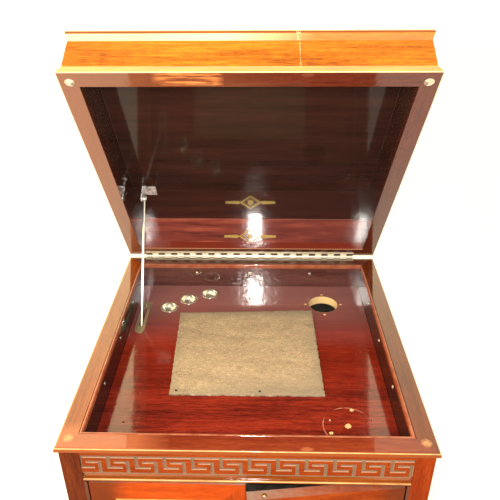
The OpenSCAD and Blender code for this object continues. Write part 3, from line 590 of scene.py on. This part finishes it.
def cove_highlight(place, colour, rough, coat):
    """The crown's cove and top arris carry a painted highlight in pale yellow, the cove's most at the front's
    left, with a dark line between. A few pale chips show at the front."""
    x, y, z = place.xyz()
    height = z - LID_Z
    inset = inset_from_edge(x, y)
    # painted highlight on the cove and the top arris
    cove = height.ramped(0.0615, 0.063) * height.falling(0.0715, 0.0725)
    top = height.ramped(0.0755, 0.0765) * inset.falling(0.004, 0.006)
    patch = place.stretched(9, 40, 40).noise(detail=4.0).ramped(0.25, 0.6)
    left = ((0.09 - x).ramped(0.0, 0.12) * 0.75 + 0.08) * (0.2 + y.falling(-0.23, -0.18) * 0.8)
    line = height.ramped(0.0722, 0.0728) * height.falling(0.0750, 0.0758)
    chips = near(place.stretched(1.0, 0.0, 0.0), [(0.0665, 0.0)], 0.0010, 0.003)
    chips = chips * place.noise(520.0, 2.0).ramped(0.53, 0.60) * y.falling(-0.22, -0.2)
    colour = layered(
        colour,
        (cove * left * (patch * 0.25 + 0.75), (0.98, 0.80, 0.48)),
        (line * 0.8, (0.20, 0.03, 0.008)),
        ((top * (patch * 0.3 + 0.45)).either(chips), (0.98, 0.78, 0.40)))
    return colour, rough, coat


def shaded_stiles_and_top_sheen(side):
    """A door frame whose outer stile is darker towards the hinges, painted shade, and whose top edge is greyed by
    a painted reflection, most towards the meeting stile. side is -1 for the left door."""
    def change(place, colour, rough, coat):
        x, _, z = place.xyz()
        outward = x * side
        start = 0.158 if side < 0 else 0.178
        outer = outward.ramped(start, start + 0.032)
        blotch = place.noise(28.0, 4.0) * 0.05
        near_edge = (outward + blotch).ramped(start + 0.017, start + 0.047)
        # painted shade on the outer stile
        colour = (outer * 0.35 + near_edge * 0.5).mixed(colour, (0.11, 0.024, 0.008))
        # painted reflection on the top edge
        top = z.ramped(DOOR_TOP - 0.0004, DOOR_TOP - 0.0001)
        top = top * (0.25 + (0.12 - outward).ramped(0.0, 0.10) * 0.6)
        cloudy = place.noise(110.0, 4.0).ramped(0.3, 0.65)
        return (top * (cloudy * 0.55 + 0.45)).mixed(colour, (0.27, 0.21, 0.17)), rough, coat
    return change


def bare_timber(name, tones, along="x", seed=0.0):
    """Unpolished softwood or plywood: growth-ring streaks, a dull surface and a little dirt."""
    f = Finish(name)
    grain = grain_vector(f.place, along)
    rings = grain.stretched(1.5, 60, 60, (seed, seed, 0)).noise(detail=3.0)
    fine = grain.stretched(12, 500, 500, (seed, 0, seed)).noise(detail=3.0)
    figure = (rings * 0.7 + fine * 0.5 - 0.1).clamped()
    colour = figure.tones((0.25, 0.5, 0.78), tones)
    dirt = f.place.noise(11.0, 5.0).ramped(0.5, 0.75)
    colour = (dirt * 0.35).mixed(colour, (0.10, 0.07, 0.045))
    return f.paint(Base_Color=colour, Roughness=fine * 0.2 + 0.6, bump=fine, bump_depth=0.0003)


def metal(name, bright, dull, rough=0.22, scale=40.0, metallic=1.0):
    """Plated or solid metal with tarnish in soft patches and shallow dents."""
    f = Finish(name)
    patch = f.place.noise(scale, 5.0, 0.65).ramped(0.42, 0.68)
    dent = f.place.noise(scale * 4, 2.0)
    colour = patch.mixed(bright, dull)
    return f.paint(Base_Color=colour, Metallic=metallic, Roughness=patch * 0.15 + dent * 0.05 + rough,
                   bump=dent, bump_depth=0.00005)


def hinge_metal(name, on_lid):
    """The piano hinge: bright knuckles, and leaves in patches, the lower leaf much darker than the upper."""
    f = Finish(name)
    place = shut_lid(f.place) if on_lid else f.place
    flat = abs(place.xyz()[2] - HINGE_Z).ramped(0.0019, 0.0024)
    patch = place.stretched(40, 40, 40).noise(detail=5.0).ramped(0.4, 0.7)
    tones = ((0.20, 0.16, 0.10), (0.11, 0.085, 0.055))
    if on_lid:
        tones = ((0.80, 0.75, 0.58), (0.58, 0.52, 0.36))
    colour = flat.mixed((0.97, 0.96, 0.86), patch.mixed(*tones))
    return f.paint(Base_Color=colour, Metallic=0.35, Roughness=flat * 0.2 + patch * 0.1 + 0.15)


def japanned(name):
    """Black stoving varnish or black stain over a slightly uneven surface."""
    f = Finish(name)
    uneven = f.place.noise(90.0, 4.0)
    colour = uneven.ramped(0.35, 0.7).mixed((0.012, 0.011, 0.010), (0.035, 0.030, 0.025))
    return f.paint(Base_Color=colour, Roughness=uneven * 0.3 + 0.3, bump=uneven, bump_depth=0.0003)


def fibre_board(name):
    """Rough pressed board: matted fibres, rubbed patches, stains, cracks at the left and darker edges."""
    f = Finish(name)
    low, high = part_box("blanking_sheet")
    x, y, _ = f.place.xyz()
    fibre = f.place.stretched(110, 330, 300).noise(detail=6.0, rough=0.8)
    cloud = f.place.stretched(16, 30, 20).noise(detail=6.0, rough=0.7)
    pink = f.place.stretched(38, 60, 50).noise(detail=4.0, rough=0.7)
    olive = f.place.stretched(30, 75, 40).noise(detail=5.0, rough=0.7)
    speckle = f.place.noise(620.0, 3.0)
    tone = (cloud * 0.42 + fibre * 0.75 + speckle * 0.75 - 0.46).clamped()
    colour = tone.tones((0.30, 0.5, 0.70), ((0.19, 0.140, 0.094), (0.38, 0.28, 0.172), (0.60, 0.465, 0.28)))
    lumps = f.place.noise(330.0, 3.0).ramped(0.66, 0.72)
    crack = f.place.stretched(26, 44, 30).noise(detail=4.0, rough=0.7)
    crack = abs(crack - 0.52).falling(0.0, 0.014) * (x - low.x).falling(0.035, 0.075)
    front = (y - low.y).falling(0.012, 0.06) * x.ramped(-0.11, 0.02)
    edge = (x - low.x).both(high.x - x).both(y - low.y).both(high.y - y)
    tufts = f.place.stretched(90, 90, 90).noise(detail=3.0).ramped(0.5, 0.62)
    colour = layered(
        colour,
        (pink.ramped(0.48, 0.68) * 0.25, (0.46, 0.25, 0.16)),
        (olive.ramped(0.50, 0.68) * 0.45, (0.26, 0.225, 0.13)),
        (pink.falling(0.28, 0.42) * 0.25, (0.66, 0.42, 0.19)),
        (lumps * 0.6, (0.85, 0.66, 0.42)),
        (crack * 0.75, (0.10, 0.065, 0.035)),
        (front * 0.5, (0.25, 0.20, 0.145)),
        (edge.falling(0.002, 0.024) * 0.38, (0.20, 0.16, 0.115)),
        (y.ramped(high.y - 0.034, high.y - 0.012) * 0.55, (0.215, 0.185, 0.14)),
        (edge.falling(0.0004, 0.0014) * tufts * 0.7, (0.78, 0.66, 0.48)))
    return f.paint(Base_Color=colour, Roughness=0.72 + fibre * 0.2, bump=fibre + cloud * 2.0,
                   bump_depth=0.0006)


def gilding(name):
    """Old gilding: warm gold, rubbed through in small patches."""
    f = Finish(name)
    rub = f.place.noise(900.0, 3.0).ramped(0.5, 0.66)
    colour = rub.mixed((0.95, 0.66, 0.20), (0.55, 0.30, 0.08))
    return f.paint(Base_Color=colour, Metallic=0.75, Roughness=0.35 + rub * 0.2, bump=rub,
                   bump_depth=0.00003)


# ---- finishes of the CAD nodes ----

LID_MITRE = ((0, 1), (0.0, 0.0), (RIM_W / 2, RIM_D / 2))


def door_mitre(node):
    """The mitre of a door's frame, for grain_vector."""
    low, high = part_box(node)
    middle, half = (low + high) / 2, (high - low) / 2
    return (0, 2), (middle.x, middle.z), (half.x, half.z)


def lid_board(part, along, seed, contrast=0.75):
    """A board of the lid, orange outside and dark inside."""
    return mahogany(f"lid_{part}", LID_ORANGE, along, seed=seed, on_lid=True, after=stained_lid, base=0.1,
                    contrast=contrast)


def rim_board(part, tones, along, seed):
    """A board of the top rim, glossy by its coat only."""
    return mahogany(f"rim_{part}", tones, along, seed=seed, base=0.1, after=rim_wear_and_painted_light)


def door_frame(hand, tones, seed, side):
    """A door's frame, mitred and nearly dull."""
    return mahogany(f"{hand}_frame", tones, "x", mitre=door_mitre(f"{hand}_door_frame"), seed=seed,
                    coat=0.05, after=shaded_stiles_and_top_sheen(side))


NICKEL = metal("worn_nickel", (0.78, 0.75, 0.64), (0.52, 0.48, 0.36), rough=0.12, metallic=0.8)
BRIGHT = metal("bright_nickel", (0.95, 0.94, 0.90), (0.80, 0.78, 0.70), rough=0.10, metallic=0.8)
AGED_NICKEL = metal("aged_nickel", (0.60, 0.54, 0.33), (0.36, 0.32, 0.18), rough=0.28, metallic=0.7)
BRASS = metal("aged_brass", (0.72, 0.50, 0.20), (0.32, 0.20, 0.08), rough=0.28)
STEEL = metal("dull_steel", (0.30, 0.29, 0.28), (0.16, 0.14, 0.12), rough=0.4)
RUST = metal("rusty_nail", (0.03, 0.025, 0.02), (0.05, 0.03, 0.018), rough=0.7, metallic=0.3)
# black stain on the sound board behind the doors, dark also to stand for the shade inside the cabinet
BLACK_FOR_SHADE = japanned("black_stain_and_shade")
CAST = japanned("japanned_iron")
PINE = [(0.30, 0.17, 0.075), (0.46, 0.28, 0.13), (0.60, 0.40, 0.20)]
PLY = [(0.22, 0.11, 0.045), (0.34, 0.18, 0.075), (0.45, 0.26, 0.12)]
TIMBER_X = bare_timber("timber_across", PINE, "x", 1.0)
TIMBER_Y = bare_timber("timber_deep", PINE, "y", 2.0)

FINISHES = {
    "post_front_left": mahogany("post_left", BROWN_CASE, "z", seed=1.1, coat=0.05),
    "post_front_right": mahogany("post_right", RED_CASE, "z", seed=2.3, coat=0.05),
    "back_posts": mahogany("back_posts", RED_CASE, "z", seed=3.7, coat=0.5),
    "rim_front": rim_board("front", RIM_FRONT, "x", 4.2),
    "rim_back": rim_board("back", RIM_BACK, "x", 5.8),
    "rim_left": rim_board("left", RIM_LEFT, "y", 6.1),
    "rim_right": rim_board("right", RIM_RIGHT, "y", 7.4),
    "well_bead": mahogany("well_bead", BEAD_RED, "x", mitre=LID_MITRE, seed=8.0, after=bead_highlight),
    "well_liner_front": mahogany("liner_front", WELL_DARK, "x", seed=9.1),
    "well_liner_back": mahogany("liner_back", WELL_BACK, "x", seed=10.7),
    "well_liner_sides": mahogany("liner_sides", WELL_DARK, "y", seed=11.3, coat=0.7),
    "motor_board": mahogany("motor_board", BOARD_RED, "x", seed=12.9, after=bare_spots, contrast=1.0),
    "frieze_board": mahogany("frieze", FRIEZE_RED, "x", seed=13.5, after=fret_dust_and_shading, coat=0.04),
    "frieze_moulding": mahogany("frieze_moulding", MOULDING_ORANGE, "x", seed=14.5, coat=0.6,
                                after=bead_crown_highlight),
    "side_panel_left": mahogany("side_left", RED_CASE, "z", seed=15.2, coat=0.6),
    "side_panel_right": mahogany("side_right", RED_CASE, "z", seed=16.6, coat=0.6),
    "back_top_rail": mahogany("back_rail", RED_CASE, "x", seed=17.8, coat=0.6),
    "front_apron": mahogany("apron", ORANGE, "x", seed=18.4, coat=0.3),
    "cock_beads": mahogany("cock_bead", BROWN_CASE, "z", seed=19.9, coat=0.4),
    "lid_rim_frame": mahogany("lid_mouth", MOUTH_BROWN, "x", mitre=LID_MITRE, seed=20.6, on_lid=True,
                              after=lid_mouth),
    "lid_front_board": lid_board("front", "x", 21.1, contrast=1.2),
    "lid_back_board": lid_board("back", "x", 22.5),
    "lid_side_boards": lid_board("sides", "y", 23.9),
    "lid_top_panel": lid_board("top", "x", 24.7),
    "lid_crown_moulding": mahogany("crown", LID_ORANGE, "x", mitre=LID_MITRE, seed=25.3, on_lid=True,
                                   after=cove_highlight),
    "left_door_frame": door_frame("left", ORANGE, 26.8, -1),
    "right_door_frame": door_frame("right", FRIEZE_RED, 27.2, 1),
    "left_door_panel": mahogany("left_panel", ORANGE, "z", seed=28.6, coat=0.3, contrast=1.4),
    "right_door_panel": mahogany("right_panel", ORANGE, "z", seed=29.4, coat=0.3, contrast=1.4),
    "back_panel": bare_timber("back_ply", PLY, "z", 4.0),
    "bottom_board": TIMBER_X,
    "centre_shelf": TIMBER_X,
    "record_dividers": TIMBER_Y,
    "board_bearers": TIMBER_Y,
    "horn_body": TIMBER_X,
    "sound_front_board": BLACK_FOR_SHADE,
    "horn_elbow": CAST,
    "glides": STEEL,
    "sheet_nails": RUST,
    "stay_guide_plate": AGED_NICKEL,
    "hinge_pin": AGED_NICKEL,
    "stay_rod": BRIGHT,
    "stay_bracket": metal("mottled_nickel", (0.95, 0.95, 0.92), (0.12, 0.12, 0.12), rough=0.08, scale=170.0,
                          metallic=0.4),
    "hinge_cabinet_leaf": hinge_metal("lower_leaf_nickel", False),
    "hinge_lid_leaf": hinge_metal("upper_leaf_nickel", True),
}
NICKELLED = ["needle_cup_left", "needle_cup_middle", "needle_cup_right", "lid_bumpers",
             "winding_escutcheon", "round_head_screws"]
BRASSES = ["door_hinge_fixed_leaves", "left_door_hinge_leaves", "right_door_hinge_leaves", "left_door_knob",
           "right_door_knob", "right_door_catch", "catch_bullet"]
FINISHES.update({n: NICKEL for n in NICKELLED})
FINISHES.update({n: BRASS for n in BRASSES})
SHEET = fibre_board("pressed_board_finish")
FINISHES["blanking_sheet"] = SHEET

for node, finish in FINISHES.items():
    materials = frame["nodes"][node].data.materials
    materials.clear()
    materials.append(finish)


# ---- pieces ----

def rough_board():
    """The nailed board: a four-cornered sheet on a grid of (u, v) from corner to corner. Its edges are ragged
    inwards, and its top is waved by summed sines and rounded off towards the edges."""
    cad = np.array([v.co for v in frame["nodes"]["blanking_sheet"].data.vertices])
    low, high = cad[:, 2].min(), cad[:, 2].max()
    signs = [(-1, -1), (1, -1), (1, 1), (-1, 1)]
    corners = [cad[np.argmax(cad[:, 0] * sx + cad[:, 1] * sy), :2] for sx, sy in signs]
    n = 121
    u, v = np.meshgrid(np.linspace(0, 1, n), np.linspace(0, 1, n), indexing="ij")
    rng = np.random.default_rng(11)
    rag = [np.convolve(rng.random(n + 4), np.ones(3) / 3, "same")[2:-2] ** 2 * 2.6 * MM for _ in range(4)]
    side = RIM_W / 2
    u2 = (u * (1 - (rag[0] + rag[1]) / side) + rag[0] / side)[..., None]
    v2 = (v.T * (1 - (rag[2] + rag[3]) / side) + rag[2] / side).T[..., None]
    a, b, c, d = corners
    plan = (a * (1 - u2) + b * u2) * (1 - v2) + (d * (1 - u2) + c * u2) * v2
    edge = np.minimum(np.minimum(u, 1 - u), np.minimum(v, 1 - v)) * side
    waves = sum(np.sin(u * rng.uniform(3, 40) + v * rng.uniform(3, 40) + rng.uniform(0, 6))
                for _ in range(9)) / 9
    height = high - 0.7 * MM * np.exp(-edge / (1.1 * MM)) + 0.12 * MM * waves - 0.12 * MM
    top = np.concatenate([plan, height[..., None]], -1)
    base = np.concatenate([plan, np.full_like(height, low)[..., None]], -1)
    v3, f3 = slab(top, base)
    piece = put("rough_board", v3, f3[:, ::-1], "cabinet", SHEET, smooth=50)
    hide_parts("blanking_sheet")


def panel_moulding():
    """Outline of the moulding round a door's panel: a bead on the frame's edge, then a hollow down to it."""
    depth = 6 * MM
    bead, hollow, width = 1.6 * MM, 4.4 * MM, 8.5 * MM
    return np.concatenate([
        [[0.0, 0.0]],
        arc((bead * 0.2, depth + 0.2 * MM), bead, 170, 10, 9),
        arc((bead + hollow, depth * 0.98), hollow, 190, 268, 8),
        [[width, depth * 0.98 - hollow], [width, 0.0]]])


def door_mouldings():
    """The mouldings of both doors, drawn on the shut left door and mirrored for the right one, ajar."""
    panel_low, panel_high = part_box("left_door_panel")
    lip = 5.7 * MM
    low = (panel_low.x + lip, panel_low.z + lip)
    high = (panel_high.x - lip, panel_high.z - lip)
    verts, faces = framed(panel_moulding(), low, high)
    verts = verts + [0, panel_low.y, 0]
    # the door mouldings' finish carries a painted highlight in its pale tones
    tones = mahogany("left_moulding", HIGHLIT_MOULDING_TONES, "x", mitre=door_mitre("left_door_frame"), seed=31.0,
                     coat=0.5)
    put("left_door_moulding", verts, faces[:, ::-1], "left_door", tones)
    put("right_door_moulding", verts, faces[:, ::-1], "right_door", tones, AJAR @ MIRROR)


def screws(name, places, r, h, slot_w, body, finish=NICKEL, slot="nickel"):
    """Slotted screw heads at several places, as one piece."""
    verts, faces = together([part for place in places for part in screw_head(r, h, slot_w, place)])
    return put(name, verts, faces, body, finish, smooth=40)


def well_screws():
    """Round-headed screws in the well's walls and in the stay's guide plate, where the CAD node has them."""
    cad = np.array([v.co for v in frame["nodes"]["round_head_screws"].data.vertices])
    x, y, z = WELL_LOW.x, WELL_HIGH.y, WELL_HIGH.z - 20 * MM
    head, shank = 1.4 * MM, 3.2 * MM
    found = []
    side = np.abs(cad[:, 0]) > abs(x) - 2 * head
    for sx in (-1, 1):
        on_side = cad[side & (cad[:, 0] * sx > 0)]
        for yc in cluster(on_side[:, 1], 20 * MM):
            found.append(facing((sx * abs(x), yc, z), (-sx, 0, 0), 35 * yc / MM))
    back = cad[(~side) & (cad[:, 1] > y - 2 * head)]
    for xc in cluster(back[:, 0], 20 * MM):
        found.append(facing((xc, y, z), (0, -1, 0), 50 * xc / MM))
    plate_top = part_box("stay_guide_plate")[1].z
    low_down = (cad[:, 2] > BOARD_TOP - 9 * MM) & (cad[:, 2] < plate_top + 2 * head)
    plate = cad[low_down & ~side & (cad[:, 1] < y - 20 * MM)]
    for yc in cluster(plate[:, 1], 5 * MM):
        found.append(facing((plate[:, 0].mean(), yc, plate_top), (0, 0, 1), 20 + 900 * yc))
    piece = screws("slotted_round_heads", found, shank, head, 0.7 * MM, "cabinet")
    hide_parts("round_head_screws")


def cluster(values, gap):
    """The middles of groups of numbers that lie further apart than gap."""
    v = np.sort(np.asarray(values))
    if not len(v):
        return []
    groups = np.split(v, np.where(np.diff(v) > gap)[0] + 1)
    return [float((g[0] + g[-1]) / 2) for g in groups]


def hinge_screws():
    """Countersunk screws in both leaves of the piano hinge, each beside a knuckle of its own leaf, and in
    the back panel and the escutcheon."""
    low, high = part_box("hinge_cabinet_leaf")
    leaf_top = RIM_H + 1 * MM
    y = high.y - 11.5 * MM
    knuckle = (high.x - low.x) / KNUCKLES
    xs = [low.x + (k + 0.5) * knuckle for k in range(KNUCKLES)]
    size = (2.0 * MM, 0.35 * MM, 0.55 * MM)
    up = [facing((x, y, leaf_top), (0, 0, 1), 37 * k) for k, x in enumerate(xs[0::4])]
    screws("hinge_screws_cabinet", up, *size, "cabinet", AGED_NICKEL)
    down = [LID @ facing((x, y, LID_Z - 1 * MM), (0, 0, -1), 53 * k) for k, x in enumerate(xs[1::4])]
    screws("hinge_screws_lid", down, *size, "lid", AGED_NICKEL)
    plow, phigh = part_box("back_panel")
    edge = 14 * MM
    zs = np.linspace(plow.z + 40 * MM, phigh.z - 30 * MM, 6)
    around = [(x, z) for x in (plow.x + edge, phigh.x - edge) for z in zs]
    around += [(x, z) for x in np.linspace(plow.x + 110 * MM, phigh.x - 110 * MM, 3)
               for z in (phigh.z - edge, plow.z + 40 * MM)]
    back = [facing((x, phigh.y, z), (0, 1, 0), 71 * k) for k, (x, z) in enumerate(around)]
    screws("back_panel_screws", back, 3.4 * MM, 0.7 * MM, 0.8 * MM, "cabinet", STEEL, "steel")
    elow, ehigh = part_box("winding_escutcheon")
    middle = ((elow.y + ehigh.y) / 2, (elow.z + ehigh.z) / 2)
    ring = arc(middle, (ehigh.y - elow.y) / 2 - 4.5 * MM, 90, 330, 3)
    plate = [facing((ehigh.x, *at), (1, 0, 0), 60 * k) for k, at in enumerate(ring)]
    screws("escutcheon_screws", plate, 1.9 * MM, 0.5 * MM, 0.5 * MM, "cabinet")


def leaf(start, end, width, bend, relief):
    """A leaf from one point to another in the plane: along it s goes 0 to 1, and across it t goes -1 to 1.
    Its half width is width times sin(pi s ** 0.8), its middle line bows sideways by bend times sin(pi s),
    and its height is relief at the rib falling to a thin edge."""
    s, t = np.meshgrid(np.linspace(0, 1, 13), np.linspace(-1, 1, 5), indexing="ij")
    a, b = np.array(start, float), np.array(end, float)
    d = (b - a) / np.linalg.norm(b - a)
    side = np.array([-d[1], d[0]])
    half = width * np.sin(np.pi * np.clip(s, 0.015, 0.985) ** 0.8)
    bow = bend * np.sin(np.pi * s)
    plan = a + s[..., None] * (b - a) + (bow + t * half)[..., None] * side
    top = np.concatenate([plan, (relief * (1.15 - np.abs(t)))[..., None]], -1)
    low = np.concatenate([plan, np.zeros_like(s)[..., None]], -1)
    return slab(top, low)


def band(points, width, relief):
    """A closed line of a given width through a ring of points, flat on the plane and of height relief."""
    p = np.asarray(points, float)
    ahead, behind = np.roll(p, -1, 0) - p, p - np.roll(p, 1, 0)
    ahead /= np.linalg.norm(ahead, axis=1)[:, None]
    behind /= np.linalg.norm(behind, axis=1)[:, None]
    mitre = ahead + behind
    mitre = np.stack([-mitre[:, 1], mitre[:, 0]], -1)
    mitre /= (mitre * np.stack([-ahead[:, 1], ahead[:, 0]], -1)).sum(1)[:, None]
    inner, outer = p - mitre * width / 2, p + mitre * width / 2
    ring = np.stack([inner, outer, outer, inner], 1)
    z = np.tile([0, 0, relief, relief], (len(p), 1))
    verts = np.concatenate([ring, z[..., None]], -1)
    return verts, grid_faces(len(p), 4, True, True)


def gilt_ornament():
    """A gilt ornament on the lid's back wall: a lozenge round an eight-petalled flower, with a spray of
    leaves either side. It is drawn in a plane, x along the wall and y up it, and stood on the wall."""
    relief = 0.12 * MM
    parts = []
    for half_w, half_h, w in ((21, 15.5, 2.1), (16, 11.2, 0.7)):
        corners = np.array([(-half_w, 0), (0, -half_h), (half_w, 0), (0, half_h)]) * MM
        parts.append(band(corners, w * MM, relief))
    for k in range(8):
        way = np.array([math.cos(math.radians(45 * k)), math.sin(math.radians(45 * k))])
        parts.append(leaf(1.2 * MM * way, 7.4 * MM * way, 1.6 * MM, 0, relief))
    for side in (-1, 1):
        parts.append(leaf((side * 19 * MM, 0), (side * 54 * MM, 0), 0.9 * MM, 0, relief))
        for k in range(7):
            x0 = side * (22 + 4.3 * k) * MM
            size = (8.0 - 0.45 * k) * MM
            for up in (-1, 1):
                parts.append(leaf((x0, 0.5 * up * MM), (x0 + side * size, up * size * 0.55), 1.6 * MM,
                                  -side * up * 0.6 * MM, relief))
    verts, faces = together(parts)
    wall = RIM_D / 2 - RIM_BAND
    stand = Matrix.Translation((-2 * MM, wall, LID_Z + 29 * MM)) @ Matrix.Rotation(math.radians(90), 4, "X")
    piece = put("gilt_ornament", verts, faces[:, ::-1], "lid", gilding("gilt_finish"),
                LID @ stand, smooth=60)
    turn_outwards(piece)


def turn_outwards(piece):
    """Turns every shell of a piece outwards."""
    bm = bmesh.new()
    bm.from_mesh(piece.data)
    bmesh.ops.remove_doubles(bm, verts=bm.verts, dist=1e-7)
    bmesh.ops.recalc_face_normals(bm, faces=bm.faces)
    bm.to_mesh(piece.data)
    bm.free()


rough_board()
door_mouldings()
well_screws()
hinge_screws()
gilt_ornament()


# ---- stage, light and camera ----

def stage():
    """A plain pale floor."""
    f = Finish("pale_floor")
    mottle = f.place.noise(1.5, 2.0)
    finish = f.paint(Base_Color=mottle.mixed((0.82, 0.86, 0.95), (0.85, 0.89, 0.97)), Roughness=0.8)
    half = 9.0
    corners = [(-half, -half, 0), (half, -half, 0), (half, half, 0), (-half, half, 0)]
    mesh = bpy.data.meshes.new("floor")
    mesh.from_pydata(corners, [], [(0, 1, 2, 3)])
    mesh.materials.append(finish)
    floor = bpy.data.objects.new("floor", mesh)
    bpy.context.scene.collection.objects.link(floor)


def sky():
    """A soft studio surround, brighter behind the object and round its sides than above and in front."""
    world = bpy.data.worlds.new("studio")
    bpy.context.scene.world = world
    world.use_nodes = True
    tree = world.node_tree
    tree.nodes.clear()
    way = Socket(tree, None).node("TexCoord", out=0)
    x, y, z = way.xyz()
    behind = (y + abs(x) * 0.8).ramped(-0.5, 0.5) * z.falling(0.62, 1.0)
    side = x.ramped(-0.5, 0.5).mixed((4.6, 3.7, 2.0), (1.75, 1.5, 1.12))
    colour = behind.mixed((0.78, 0.66, 0.52), side)
    light = way.node("Background", inputs={0: colour, 1: 1.0})
    light.node("OutputWorld", inputs={0: light})


def lamp(name, at, towards, size, power, colour=(1, 1, 1)):
    """A soft rectangular light of a given width and height, aimed at a point."""
    data = bpy.data.lights.new(name, "AREA")
    data.shape, data.energy, data.color = "RECTANGLE", power, colour
    data.size, data.size_y = size
    obj = bpy.data.objects.new(name, data)
    obj.location = at
    obj.rotation_euler = (Vector(towards) - Vector(at)).to_track_quat("-Z", "Y").to_euler()
    bpy.context.scene.collection.objects.link(obj)


def camera():
    """The camera, above and in front of the cabinet and looking down on it. Gives back where it stands."""
    at = Vector((0.014, -0.7765, 1.5805))
    pitch, yaw, roll = (math.radians(a) for a in (28.54, -1.66, -0.46))
    ahead = Vector((math.sin(yaw) * math.cos(pitch), math.cos(yaw) * math.cos(pitch), -math.sin(pitch)))
    right = Vector((math.cos(yaw), -math.sin(yaw), 0))
    up = right.cross(ahead)
    right, up = (right * math.cos(roll) + up * math.sin(roll)), (up * math.cos(roll) - right * math.sin(roll))
    data = bpy.data.cameras.new("camera")
    data.sensor_width, data.lens = 36.0, 41.34
    data.shift_x, data.shift_y = 0.0136, -0.0022
    obj = bpy.data.objects.new("camera", data)
    obj.matrix_world = Matrix((right, up, -ahead)).transposed().to_4x4()
    obj.location = at
    bpy.context.scene.collection.objects.link(obj)
    bpy.context.scene.camera = obj
    return at


stage()
sky()
EYE = camera()
lamp("flash", EYE + Vector((-0.012, -0.012, 0.045)), (0, 0.1, 1.05), (0.05, 0.11), 11.0, (1.0, 0.95, 0.88))
lamp("front_box", (-0.9, -2.2, 1.3), (0, 0, 0.9), (1.0, 1.0), 6.0)
bpy.context.scene.view_settings.view_transform = "Standard"
